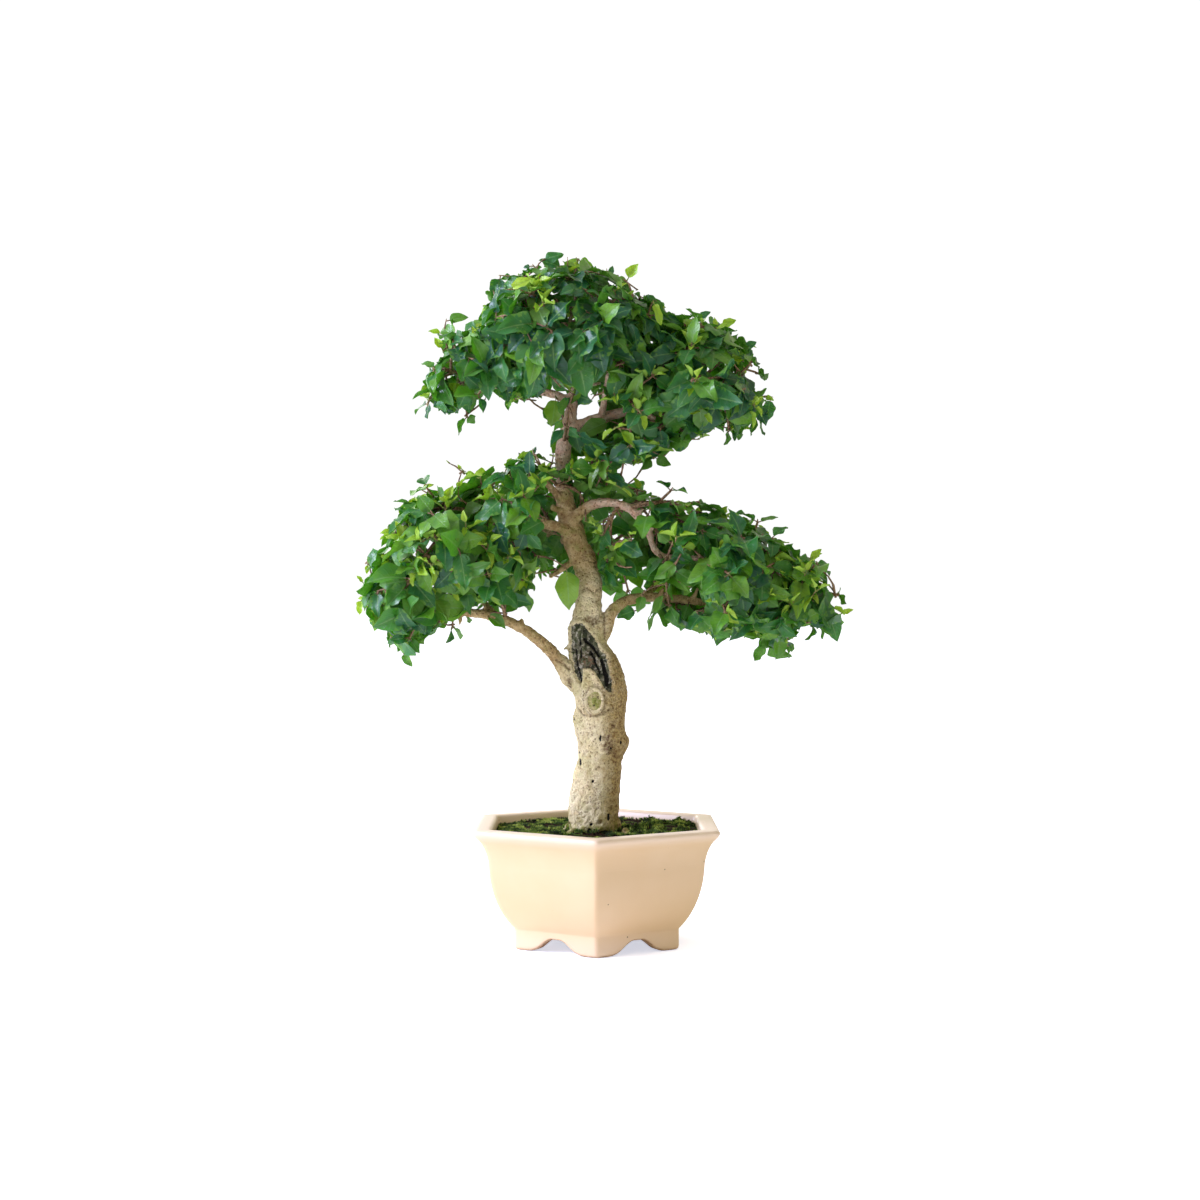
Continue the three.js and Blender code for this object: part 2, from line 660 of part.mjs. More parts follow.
// Whether two faces with a common edge are folded flat onto each other
function isFold(skin, one, other) {
  const shared = one.filter((index) => other.includes(index)).length;
  return shared === 2 && facing(skin, one).dot(facing(skin, other)) < -0.97;
}

// Adds a leaf or a side shoot, and takes it off again if the skin would cross itself
function tryAdding(skin, patches, addIt) {
  const before = { points: [...skin.points], faces: [...skin.faces], patches: [...patches] };
  addIt();
  const fresh = skin.faces.filter((face) => !before.faces.includes(face));
  const isFoul = fresh.some((face) => skin.faces.some((other) => (
    pierces(skin, face, other) || pierces(skin, other, face) || isFold(skin, face, other)
  )));
  if (isFoul) {
    skin.points = before.points;
    skin.faces = before.faces;
    patches.splice(0, patches.length, ...before.patches);
  }
}

function addLeaf(skin, patches, leaf) {
  const { top, under } = bladeOutline(leaf, 0);
  const first = skin.points.length;
  skin.points.push(...top, ...under);
  skin.faces.push(...bladeFaces(top.length).map((face) => face.map((index) => index + first)));
  const last = top.length - 1;
  const root = [last, 0, top.length, last + top.length].map((index) => index + first);
  const frame = { rise: leaf.face, side: new THREE.Vector3().crossVectors(leaf.along, leaf.face) };
  bridge(skin, openPatch(skin, patches, leaf.along), root, frame);
}

// A three-sided shoot with a short joint at each pair of leaves or side shoots; it ends in a point
function addShoot(skin, shoot, loop) {
  const half = jointLength / 2 / shoot.length;
  const joints = shoot.pairs.filter((pair) => pair.kept.length > 0 || pair.sides);
  joints.sort((a, b) => a.at - b.at);
  let below = loop;
  joints.forEach((joint, i) => {
    const ring = addRing(skin, shoot, joint.at - half, joint.lean);
    bridge(skin, below, ring, frameAt(shoot, joint.at - half));
    const isLast = i === joints.length - 1;
    const beyond = isLast
      ? Array(3).fill(skin.points.push(shoot.curve.getPoint(joint.at + 1.4 * half)) - 1)
      : addRing(skin, shoot, joint.at + half, joint.lean);
    const patches = [0, 1, 2].map((corner) => {
      const next = (corner + 1) % 3;
      const faces = [[ring[corner], ring[next], beyond[next]]];
      if (!isLast) {
        faces.push([ring[corner], beyond[next], beyond[corner]]);
      }
      skin.faces.push(...faces);
      return { loop: [...new Set([ring[corner], ring[next], beyond[next], beyond[corner]])], faces };
    });
    below = beyond;
    joint.kept.forEach((leaf) => tryAdding(skin, patches, () => addLeaf(skin, patches, leaf)));
    (joint.sides ?? []).forEach((side) => tryAdding(skin, patches, () => {
      addShoot(skin, side, openPatch(skin, patches, side.curve.getTangent(0.1)));
    }));
  });
}

// The skin of a whole spray, from where its main shoot comes clear of the limb
function skinOf(spray) {
  const skin = { points: [], faces: [] };
  const leafy = spray.sides.filter((side) => side.pairs.some((pair) => pair.kept.length > 0));
  const across = leafy.map((side) => side.curve.getTangent(0.1));
  const lean = new THREE.Vector3().crossVectors(spray.main.curve.getTangent(sideStart), across[0] ?? up);
  spray.main.pairs.push({ at: sideStart, lean, kept: [], sides: leafy });
  const ring = addRing(skin, spray.main, spray.start, lean);
  skin.faces.push([...ring].reverse());
  addShoot(skin, spray.main, ring);
  return skin;
}

// Where a shoot comes clear of the limbs
function clearStart(shoot, middles) {
  const steps = 60;
  for (let step = steps; step > 0; step -= 1) {
    const point = shoot.curve.getPoint(step / steps);
    const reach = radiusAt(shoot.stations, step / steps) + 2 * gap;
    if (middles.some((middle) => middle.point.distanceTo(point) < middle.radius + reach)) {
      return (step + 1) / steps;
    }
  }
  return 1 / steps;
}

function limbMiddles() {
  return Object.values(limbs).flatMap((stations) => {
    const curve = curveOf(stations);
    const steps = Math.ceil(curve.getLength() / 1.5);
    return Array.from({ length: steps + 1 }, (_, i) => (
      { point: curve.getPoint(i / steps), radius: radiusAt(stations, i / steps) }
    ));
  });
}

// A shoot from its start on as a solid of its own, grown by the clearance
function shootGuard(shoot, start) {
  const steps = 5;
  const trimmed = Array.from({ length: steps + 1 }, (_, i) => {
    const at = THREE.MathUtils.lerp(start, 1, i / steps);
    return [...shoot.curve.getPoint(at).toArray(), radiusAt(shoot.stations, at)];
  });
  const solid = toSolid(grown(trimmed, twigSides, steps, gap));
  return { solid, box: solid.boundingBox() };
}

// Sprays one by one, each tip as far as can be from those before it, whose main shoot leaves its
// limb freely, with the side shoots that have room
function placeShoots(woodGuard) {
  const middles = limbMiddles();
  const sprays = [];
  const isFree = (guard, spray) => {
    const others = sprays.filter((other) => other !== spray).flatMap((other) => other.guards);
    return !meets(guard, [...woodGuard, ...others]);
  };
  const free = masses.flatMap(tipsOn);
  const taken = [];
  const room = (place) => Math.min(...taken.map((other) => other.tip.distanceTo(place.tip)));
  while (sprays.length < sprayCount && free.length > 0) {
    const place = free.reduce((best, other) => (room(other) > room(best) ? other : best));
    free.splice(free.indexOf(place), 1);
    for (const root of rootsFor(place.tip).slice(0, rootAttempts)) {
      const spray = growSpray(place, root);
      const start = clearStart(spray.main, middles);
      const guard = shootGuard(spray.main, start);
      if (start < latestStart && isFree(guard, spray)) {
        taken.push(place);
        const number = taken.filter((other) => other.mass === place.mass).length;
        const name = `spray_${place.mass.name}_${number}`;
        sprays.push({ ...spray, name, start, guards: [guard], slabs: [] });
        break;
      }
    }
  }
  for (const spray of sprays) {
    const ahead = spray.main.curve.getTangent(sideStart);
    spray.sides = spray.sides.filter((side) => {
      const guard = shootGuard(side, 0);
      if (side.curve.getTangent(0.1).dot(ahead) < sharpestFork || !isFree(guard, spray)) {
        return false;
      }
      spray.guards.push(guard);
      return true;
    });
  }
  return sprays;
}

function makeSprays() {
  const wood = makeWood(gap);
  const woodGuard = [{ solid: wood, box: wood.boundingBox() }];
  const sprays = placeShoots(woodGuard);
  const othersOf = (spray) => sprays.filter((other) => other !== spray).flatMap((other) => other.guards);
  const tries = (spray) => {
    const shoots = [spray.main, ...spray.sides];
    const pairs = [0, 1].flatMap((i) => shoots.flatMap((shoot) => shoot.pairs[i] ?? []));
    return pairs.flatMap((pair) => pair.leaves.map((leaf) => ({ pair, leaf })));
  };
  const most = 2 * pairsOnShoot * (1 + sideShootsHere.length);
  for (let i = 0; i < most; i += 1) {
    for (const spray of sprays) {
      const next = tries(spray)[i];
      if (!next || spray.slabs.length >= leavesPerSpray) {
        continue;
      }
      const whole = guardOf(next.leaf, true);
      const slab = guardOf(next.leaf, false);
      if (meets(whole, [...woodGuard, ...othersOf(spray), ...spray.slabs])) {
        continue;
      }
      if (meets(slab, [...spray.guards, ...spray.slabs])) {
        continue;
      }
      next.pair.kept.push(next.leaf);
      spray.guards.push(whole);
      spray.slabs.push(slab);
    }
  }
  return sprays.map((spray) => {
    const skin = skinOf(spray);
    const geometry = new THREE.BufferGeometry().setFromPoints(skin.points);
    geometry.setIndex(skin.faces.flat());
    geometry.computeVertexNormals();
    return { name: spray.name, geometry };
  });
}

const bonsai = new THREE.Group();

function add(name, geometry, color, roughness, z = 0) {
  const mesh = new THREE.Mesh(geometry, new THREE.MeshStandardMaterial({ color, roughness, metalness: 0 }));
  mesh.name = name;
  mesh.position.z = z;
  bonsai.add(mesh);
}

const wood = makeWood();
add('pot', makePot(), potColour, 0.35);
add('drain_mesh', makeDrainMesh(), meshColour, 0.6, floorTop + gap + meshThickness / 2);
add('soil', makeSoil(), soilColour, 0.95);
add('wood', toGeometry(wood), woodColour, 0.8);
makeSprays().forEach((spray, i) => {
  add(spray.name, spray.geometry, leafColours[i % leafColours.length], 0.45);
});

// The part's origin is on the ground under the middle of its outline
const middle = new THREE.Box3().setFromObject(bonsai, true).getCenter(new THREE.Vector3());
bonsai.position.set(-middle.x, -middle.y, 0);

export default bonsai;
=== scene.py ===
import itertools
import math
import random

import bmesh
import bpy
import numpy as np
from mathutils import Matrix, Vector, noise


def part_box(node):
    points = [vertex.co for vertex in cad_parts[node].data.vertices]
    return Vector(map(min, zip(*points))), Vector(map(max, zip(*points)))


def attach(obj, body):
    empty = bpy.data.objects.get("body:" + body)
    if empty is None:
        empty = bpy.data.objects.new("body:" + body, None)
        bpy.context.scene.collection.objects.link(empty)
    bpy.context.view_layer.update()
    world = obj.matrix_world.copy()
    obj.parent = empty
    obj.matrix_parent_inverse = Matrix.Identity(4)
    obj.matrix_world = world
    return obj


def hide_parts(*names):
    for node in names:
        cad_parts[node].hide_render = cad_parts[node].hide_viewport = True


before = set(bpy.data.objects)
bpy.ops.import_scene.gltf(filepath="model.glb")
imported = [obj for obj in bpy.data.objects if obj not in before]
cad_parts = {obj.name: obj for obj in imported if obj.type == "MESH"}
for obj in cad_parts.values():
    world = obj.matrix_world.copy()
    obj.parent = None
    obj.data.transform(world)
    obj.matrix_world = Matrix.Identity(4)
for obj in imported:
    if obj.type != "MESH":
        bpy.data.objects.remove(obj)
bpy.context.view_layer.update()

mm = 0.001
potLow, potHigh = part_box("pot")
potAxis = np.array([(potLow.x + potHigh.x) / 2, (potLow.y + potHigh.y) / 2, 0]) / mm
view = {  # the camera, from the pot's axis
    "distance": 1640, "shift": 2.9, "height": 306.8, "lens": 54.66, "sensor": 36, "clip": 100,
}


# Meshes, with points in millimetres from the pot's axis

def makeObject(name, points, faces, materials):
    mesh = bpy.data.meshes.new(name)
    mesh.from_pydata((np.asarray(points, float) * mm).tolist(), [], faces)
    mesh.polygons.foreach_set("use_smooth", [True] * len(mesh.polygons))
    for material in materials:
        mesh.materials.append(material)
    made = bpy.data.objects.new(name, mesh)
    bpy.context.scene.collection.objects.link(made)
    return made


def giveAttribute(mesh, name, values, domain="POINT", kind="FLOAT"):
    layer = mesh.attributes.new(name, kind, domain)
    field = "vector" if kind == "FLOAT_VECTOR" else "value"
    layer.data.foreach_set(field, np.asarray(values, np.float32).ravel())


def applyModifiers(made):
    graph = bpy.context.evaluated_depsgraph_get()
    mesh = bpy.data.meshes.new_from_object(made.evaluated_get(graph), depsgraph=graph)
    made.modifiers.clear()
    made.data = mesh


def pointsOf(mesh):
    points = np.empty(len(mesh.vertices) * 3)
    mesh.vertices.foreach_get("co", points)
    return points.reshape(-1, 3) / mm


def normalsOf(mesh):
    normals = np.empty(len(mesh.vertices) * 3)
    mesh.vertices.foreach_get("normal", normals)
    return normals.reshape(-1, 3)


def movePoints(mesh, points):
    mesh.vertices.foreach_set("co", (points * mm).ravel())
    mesh.update()


def noiseAt(points, size, seed=0):
    shift = np.array((7.3, 3.1, 5.7)) * seed
    return np.array([noise.noise(Vector(point)) for point in points / size + shift])


def smoothStep(low, high, values):
    share = np.clip((values - low) / (high - low), 0, 1)
    return share * share * (3 - 2 * share)


def unit(vector):
    return vector / max(np.linalg.norm(vector), 1e-9)


def chanceWay(draw, reach):
    return np.array([draw.uniform(-reach, reach) for _ in range(3)])


def splineAt(stations, places):
    rows = np.asarray(stations, float)
    padded = np.vstack([2 * rows[0] - rows[1], rows, 2 * rows[-1] - rows[-2]])
    place = np.clip(np.asarray(places, float) * (len(rows) - 1), 0, len(rows) - 1 - 1e-9)
    index = place.astype(int)
    t = (place - index)[:, None]
    a, b, c, d = padded[index], padded[index + 1], padded[index + 2], padded[index + 3]
    bend = (2 * a - 5 * b + 4 * c - d) * t ** 2 + (3 * b - a - 3 * c + d) * t ** 3
    return 0.5 * (2 * b + (c - a) * t + bend)


def toPath(x, z, path):  # distance in the front view
    best = np.full(len(x), 1e9)
    for (ax, az), (bx, bz) in zip(path, path[1:]):
        dx, dz = bx - ax, bz - az
        share = np.clip(((x - ax) * dx + (z - az) * dz) / (dx ** 2 + dz ** 2), 0, 1)
        best = np.minimum(best, np.hypot(x - ax - share * dx, z - az - share * dz))
    return best


def liesIn(x, z, outline):
    after = np.roll(outline, -1, axis=0)
    spans = (outline[:, 1, None] > z) != (after[:, 1, None] > z)
    slope = (after - outline)[:, 0] / ((after - outline)[:, 1] + 1e-9)
    crossing = outline[:, 0, None] + (z - outline[:, 1, None]) * slope[:, None]
    return (spans & (x < crossing)).sum(0) % 2 == 1


def tubeAlong(centres, radii, sides):
    centres = np.asarray(centres, float)
    ahead = np.gradient(centres, axis=0)
    side = np.cross(ahead[0], (0, 0, 1) if abs(unit(ahead[0])[2]) < 0.9 else (0, 1, 0))
    turns = np.arange(sides) * 2 * math.pi / sides
    points = []
    for centre, way, radius in zip(centres, ahead, radii):
        way = unit(way)
        side = unit(side - way * side.dot(way))
        rise = np.cross(way, side)
        points.append(centre + radius * (np.outer(np.cos(turns), side) + np.outer(np.sin(turns), rise)))
    points = np.vstack(points + [centres[:1], centres[-1:]])
    rings = len(centres)
    start, end, last = rings * sides, rings * sides + 1, (rings - 1) * sides
    faces = []
    for j in range(sides):
        k = (j + 1) % sides
        for row in range(0, last, sides):
            faces.append((row + j, row + k, row + sides + k, row + sides + j))
        faces += [(start, k, j), (end, last + j, last + k)]
    return points, faces


def gather(parts):
    points, faces, first = [], [], 0
    for some, theirs in parts:
        points.append(some)
        faces += [tuple(index + first for index in face) for face in theirs]
        first += len(some)
    return np.vstack(points), faces


# Shader nodes

def addNode(tree, kind, inputs=None, **settings):
    made = tree.nodes.new(kind)
    for key, value in settings.items():
        setattr(made, key, value)
    for key, value in (inputs or {}).items():
        if isinstance(value, bpy.types.NodeSocket):
            tree.links.new(value, made.inputs[key])
        else:
            made.inputs[key].default_value = value
    return made


def colour(code):
    parts = [int(code[i:i + 2], 16) / 255 for i in (1, 3, 5)]
    return [part / 12.92 if part < 0.04045 else ((part + 0.055) / 1.055) ** 2.4 for part in parts] + [1]


def mixed(tree, share, a, b):
    a, b = (colour(each) if isinstance(each, str) else each for each in (a, b))
    return addNode(tree, "ShaderNodeMix", {0: share, 6: a, 7: b}, data_type="RGBA").outputs[2]


def maths(tree, operation, a, b=0.0, c=0.0):
    return addNode(tree, "ShaderNodeMath", {0: a, 1: b, 2: c}, operation=operation).outputs[0]


def times(tree, a, b):
    return maths(tree, "MULTIPLY", a, b)


def plus(tree, a, b):
    return maths(tree, "ADD", a, b)


def ranged(tree, value, low, high, start=0.0, end=1.0):
    inputs = {"Value": value, "From Min": low, "From Max": high, "To Min": start, "To Max": end}
    return addNode(tree, "ShaderNodeMapRange", inputs, interpolation_type="SMOOTHSTEP").outputs[0]


def layered(tree, shown, *layers):  # each is a mask, or a value with its range and full share, and a colour
    for mask, *span, cover in layers:
        if span:
            low, high, full = span
            mask = ranged(tree, mask, low, high, 0, full)
        shown = mixed(tree, mask, shown, cover)
    return shown


def makeGroup(name, sockets, result):
    tree = bpy.data.node_groups.new(name, "ShaderNodeTree")
    for socket, kind in sockets.items():
        tree.interface.new_socket(socket, in_out="INPUT", socket_type="NodeSocket" + kind)
    tree.interface.new_socket(result, in_out="OUTPUT", socket_type="NodeSocketFloat")
    return tree, tree.nodes.new("NodeGroupInput").outputs


def grainGroup():
    sockets = {"Place": "Vector", "Size": "Float", "Detail": "Float", "Roughness": "Float"}
    tree, given = makeGroup("grain", sockets, "Value")
    inputs = {"Vector": given["Place"], "Detail": given["Detail"], "Roughness": given["Roughness"]}
    inputs["Scale"] = maths(tree, "DIVIDE", 1 / mm, given["Size"])
    addNode(tree, "NodeGroupOutput", {"Value": addNode(tree, "ShaderNodeTexNoise", inputs).outputs[0]})
    return tree


def dotGroup():
    tree, given = makeGroup("dots", {"Place": "Vector", "Size": "Float"}, "Distance")
    inputs = {"Vector": given["Place"], "Scale": maths(tree, "DIVIDE", 1 / mm, given["Size"])}
    cells = addNode(tree, "ShaderNodeTexVoronoi", inputs)
    addNode(tree, "NodeGroupOutput", {"Distance": cells.outputs["Distance"]})
    return tree


shared = {"grain": grainGroup(), "dots": dotGroup()}


def noisy(tree, place, size, detail=3.0, rough=0.55):
    inputs = {"Place": place, "Size": size, "Detail": detail, "Roughness": rough}
    return addNode(tree, "ShaderNodeGroup", inputs, node_tree=shared["grain"]).outputs[0]


def dots(tree, place, size):
    inputs = {"Place": place, "Size": size}
    return addNode(tree, "ShaderNodeGroup", inputs, node_tree=shared["dots"]).outputs[0]


def valueOf(tree, name):
    return addNode(tree, "ShaderNodeAttribute", attribute_name=name).outputs["Fac"]


def startMaterial(name):
    made = bpy.data.materials.new(name)
    made.use_nodes = True
    tree = made.node_tree
    tree.nodes.clear()
    return made, tree, addNode(tree, "ShaderNodeTexCoord").outputs["Object"]


def surfaceOf(tree, shown, rough, others=None):
    inputs = {"Base Color": shown, "Roughness": rough, **(others or {})}
    return addNode(tree, "ShaderNodeBsdfPrincipled", inputs).outputs[0]


def thinOf(tree, surface, share, inputs):
    through = addNode(tree, "ShaderNodeBsdfTranslucent", inputs).outputs[0]
    return addNode(tree, "ShaderNodeMixShader", {0: share, 1: surface, 2: through}).outputs[0]


def finishMaterial(tree, shader):
    addNode(tree, "ShaderNodeOutputMaterial", {"Surface": shader})


def bumped(tree, height, depth, strength=1.0):
    inputs = {"Height": height, "Distance": depth * mm, "Strength": strength}
    return addNode(tree, "ShaderNodeBump", inputs).outputs[0]


# Foliage: the leaves and shoots of the model's sprays, read from their own corners

foliage = {
    "thickness": 0.6, "petiole": 3.5, "droop": 0.12, "rootShare": 0.25,
    "corners": 14, "tipLinks": 6, "innerLinks": 3, "endLinks": 2, "slack": 0.02, "merge": 0.01,
    "ringSide": (1.9, 3.7), "even": 1.02, "tipRadius": 1.0,
}


def readBlade(corners, twins, near, place):
    def middle(vert):
        return (place[vert] + place[twins[vert]]) / 2

    def isBeside(vert, other):
        return other in corners and other is not twins[vert] and twins[other] in near[twins[vert]]

    beside = {vert: [other for other in near[vert] if isBeside(vert, other)] for vert in corners}
    tip = max(beside, key=lambda vert: len(beside[vert]))
    if len(corners) != foliage["corners"] or len(beside[tip]) != foliage["tipLinks"]:
        return None
    inner = [vert for vert in beside[tip] if len(beside[vert]) == foliage["innerLinks"]]
    ends = {vert for vert in beside if len(beside[vert]) == foliage["endLinks"]}
    roots = [vert for vert in inner if not ends & set(beside[vert])]
    waist = [vert for vert in inner if vert not in roots]
    root = (middle(roots[0]) + middle(roots[1])) / 2
    waist = (middle(waist[0]) + middle(waist[1])) / 2
    face = unit(place[tip] - place[twins[tip]])
    face = face if (waist - (root + middle(tip)) / 2).dot(face) > 0 else -face
    along = middle(tip) - root
    along = unit(along - face * along.dot(face))
    side = np.cross(along, face)
    size = abs((middle(roots[0]) - middle(roots[1])).dot(side)) / (2 * foliage["rootShare"])
    base = middle(tip) - along * (foliage["petiole"] + size) + face * foliage["droop"] * size
    return {"base": base, "along": along, "face": face, "size": size, "age": 0}


def inOrder(verts):
    return sorted(verts, key=lambda vert: vert.index)


def readLeaves(shape, twins, near, place):
    leaves, seen = [], set()
    for vert in shape.verts:
        if vert not in twins or vert in seen:
            continue
        corners, todo = set(), [vert]
        while todo:
            here = todo.pop()
            if here not in corners:
                corners.add(here)
                todo += [other for other in near[here] if other in twins]
        seen |= corners
        leaf = readBlade(inOrder(corners), twins, near, place)
        leaves += [leaf] if leaf else []
    return leaves


def readJoints(shape, twins, near, place):  # the three-cornered rings of the shoots, and their pointed ends
    free = [vert for vert in shape.verts if vert not in twins]
    shortest, longest = foliage["ringSide"]
    joints, taken = [], set()
    for vert in free:
        around = inOrder(other for other in near[vert] if other not in twins)
        for a, b in itertools.combinations(around, 2):
            sides = [np.linalg.norm(place[p] - place[q]) for p, q in ((vert, a), (a, b), (b, vert))]
            isEven = max(sides) < foliage["even"] * min(sides) and shortest < sides[0] < longest
            if b in near[a] and isEven and not taken & {vert, a, b}:
                taken |= {vert, a, b}
                middle = (place[vert] + place[a] + place[b]) / 3
                joints.append({"at": middle, "radius": sides[0] / math.sqrt(3), "verts": {vert, a, b}})
    ends = [vert for vert in free if vert not in taken]
    return joints + [{"at": place[vert], "radius": foliage["tipRadius"], "verts": {vert}} for vert in ends]


def readShoots(shape, joints, near):
    faces = [set(face.verts) for face in shape.faces]
    caps = [i for i, joint in enumerate(joints) if joint["verts"] in faces]
    links = {i: set() for i in range(len(joints))}
    for i, j in itertools.combinations(range(len(joints)), 2):
        if any(other in joints[j]["verts"] for vert in joints[i]["verts"] for other in near[vert]):
            links[i].add(j)
            links[j].add(i)
    start = caps[0] if caps else 0
    parent, order = {start: None}, [start]
    for i in order:
        for j in sorted(links[i], key=lambda k: np.linalg.norm(joints[k]["at"] - joints[i]["at"])):
            if j not in parent:
                parent[j] = i
                order.append(j)
    paths = []
    for i in order:
        if i not in parent.values():
            path = [i]
            while parent[path[-1]] is not None:
                path.append(parent[path[-1]])
            paths.append(path[::-1])
    used, shoots = set(), []
    for path in sorted(paths, key=len, reverse=True):
        first = next((k for k, i in enumerate(path) if i not in used), len(path))
        used |= set(path)
        if len(path) > max(first, 1):
            stations = [joints[i] for i in path[max(first - 1, 0):]]
            shoots.append(np.array([[*station["at"], station["radius"]] for station in stations]))
    return shoots


def readSpray(node):
    shape = bmesh.new()
    shape.from_mesh(node.data)
    bmesh.ops.remove_doubles(shape, verts=shape.verts, dist=foliage["merge"] * mm)
    place = {vert: np.array(vert.co) / mm - potAxis for vert in shape.verts}
    near = {vert: {edge.other_vert(vert) for edge in vert.link_edges} for vert in shape.verts}
    twins = {}
    for edge in shape.edges:
        if abs(edge.calc_length() / mm - foliage["thickness"]) < foliage["slack"]:
            twins[edge.verts[0]], twins[edge.verts[1]] = edge.verts[1], edge.verts[0]
    leaves = readLeaves(shape, twins, near, place)
    shoots = readShoots(shape, readJoints(shape, twins, near, place), near)
    shape.free()
    return {"leaves": leaves, "shoots": shoots}


def countLeaves():
    return sum(len(spray["leaves"]) for spray in sprays.values())


sprays, groups = {}, {}
for name in sorted(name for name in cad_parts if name.startswith("spray_")):
    sprays[name] = readSpray(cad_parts[name])
    groups.setdefault(name.removeprefix("spray_").rsplit("_", 1)[0], []).append(name)
print("sprays read:", len(sprays), "leaves:", countLeaves(), flush=True)

# More leaves: along the shoots of the model, and on further shoots spread evenly over each mass of foliage

fill = {
    "seed": 41, "drawn": 2200, "depth": (0.78, 0.97), "apart": 0.55, "spacing": 18, "room": 7.2, "tries": 3,
    "open": {"rear": 1.7, "left_rear": 1.5, "right_high": 1.25, "left_under": 1.2},
    "young": 0.36, "youngCrown": 0.65, "youngModel": 0.4, "held": 0.7, "heldAt": 0.8, "behind": 8,
}
growth = {  # a shoot and its pairs of leaves
    "inward": 8, "rise": 0.8, "reach": (2, 9), "bow": 0.12, "loose": 2, "past": 0.0375,
    "radii": (1.25, 1.0, 0.8, 0.5), "bare": 0.25, "pairs": (0, 8, 17, 27, 37, 47), "sizes": (19, 31),
    "youngPairs": (0, 5.5, 13, 22, 31, 40, 49), "youngSizes": (9, 14), "widening": 4, "small": 2,
    "age": (0, 0.12), "youngAge": (0.85, 1), "ageing": 0.32,
    "swing": 0.5, "spread": (0.85, 1.15), "halfWidth": 0.36, "roomShare": 0.4,
}
drape = {  # how a leaf leans: shares of its heading, the way out, the way up and chance
    "adult": 0.5, "youngAlong": (0.8, 0.5, 0.3, 0.25), "youngFace": (0.4, 0.8, 0.4),
    "along": (0.75, 0.22, 0.2), "downhill": (0.35, 1.5), "face": (0.3, 0.42),
}
masses = {
    "crown_top": ((-24, 0, 529), (93, 88, 81), 1.75), "crown_left": ((-108, 4, 503), (40, 58, 42), 1.9),
    "crown_right": ((86, 0, 496), (58, 80, 60), 2.1), "crown_under": ((30, -6, 472), (72, 62, 40), 2.7),
    "left_high": ((-62, -6, 383), (56, 66, 46), 2), "left_mid": ((-122, 0, 350), (68, 76, 55), 2.1),
    "left_tip": ((-165, 0, 308), (42, 58, 46), 2.6), "left_under": ((-92, -10, 350), (44, 60, 50), 2.5),
    "left_rear": ((-80, 60, 360), (60, 44, 46), 2.2), "right_high": ((62, -2, 354), (64, 68, 48), 2.1),
    "right_mid": ((120, 0, 328), (66, 76, 48), 2.1), "right_tip": ((174, 0, 312), (44, 58, 42), 2.5),
    "right_under": ((138, -4, 312), (80, 58, 42), 2.6), "rear": ((10, 74, 352), (70, 46, 48), 2.2),
}
between = (
    ("crown_under", (22, -6, 424), (34, 34, 26), 2.6), ("crown_top", (-46, -6, 496), (30, 60, 26), 2.8),
    ("left_high", (-42, -12, 416), (30, 40, 24), 2.2), ("right_high", (22, 12, 368), (28, 34, 44), 2.6),
)
outlines = {  # edge of the foliage as seen from the front, as x and z
    "crown": (
        (-165, 492), (-159, 502), (-146, 516), (-149, 522), (-138, 529), (-141, 536), (-153, 543),
        (-141, 551), (-135, 560), (-126, 562), (-115, 559), (-107, 568), (-103, 577), (-93, 584), (-93, 595),
        (-85, 600), (-64, 606), (-55, 608), (-36, 614), (-20, 614), (-13, 614), (0, 606), (12, 604),
        (29, 592), (36, 586), (54, 580), (62, 574), (75, 570), (86, 566), (102, 560), (116, 559), (131, 556),
        (126, 547), (135, 539), (147, 538), (146, 526), (136, 518), (135, 507), (137, 497), (150, 493),
        (162, 482), (161, 474), (153, 453), (143, 453), (131, 456), (114, 457), (97, 452), (86, 449),
        (72, 444), (55, 434), (45, 432), (34, 426), (20, 426), (18, 398),
        (-6, 398), (-33, 425), (-33, 447), (-40, 449), (-45, 459), (-46, 479), (-45, 488), (-55, 486),
        (-72, 485), (-81, 480), (-88, 484), (-96, 498), (-100, 486), (-115, 484), (-120, 477), (-127, 469),
        (-132, 475), (-141, 471), (-149, 478), (-153, 486),
    ),
    "left": (
        (-180, 257), (-169, 246), (-162, 254), (-165, 264), (-152, 272), (-146, 280), (-134, 286),
        (-108, 289), (-98, 288), (-96, 277), (-80, 277), (-77, 290), (-69, 296), (-54, 297), (-60, 307),
        (-67, 312), (-69, 318), (-55, 320), (-39, 333), (-30, 330), (-27, 308), (-21, 293), (-12, 308),
        (-12, 344), (3, 398), (3, 425), (-31, 446), (-46, 444), (-64, 443), (-80, 434), (-87, 425),
        (-102, 418), (-111, 424), (-122, 425), (-135, 432), (-133, 426), (-123, 414), (-135, 407),
        (-144, 411), (-156, 410), (-174, 404), (-180, 387), (-182, 378), (-196, 366), (-212, 352),
        (-208, 334), (-219, 323), (-220, 314), (-214, 304), (-215, 283), (-195, 279), (-181, 282),
        (-186, 271),
    ),
    "right": (
        (31, 415), (39, 404), (48, 407), (62, 398), (73, 403), (81, 399), (90, 396), (104, 395), (117, 395),
        (126, 385), (138, 382), (149, 375), (154, 368), (168, 361), (176, 361), (173, 352), (180, 349),
        (199, 350), (210, 350), (207, 338), (212, 333), (209, 319), (208, 306), (217, 300), (231, 302),
        (229, 292), (221, 289), (221, 274), (213, 264), (205, 274), (196, 284), (186, 283), (183, 281),
        (177, 261), (158, 251), (156, 264), (140, 274), (131, 271), (125, 274), (109, 264), (100, 266),
        (98, 273), (90, 278), (78, 281), (66, 282), (60, 279), (57, 289), (48, 288), (39, 281), (34, 289),
        (18, 289), (10, 304), (-15, 344), (-15, 398), (14, 407),
    ),
}
outlines = {name: np.array(outline, float) for name, outline in outlines.items()}
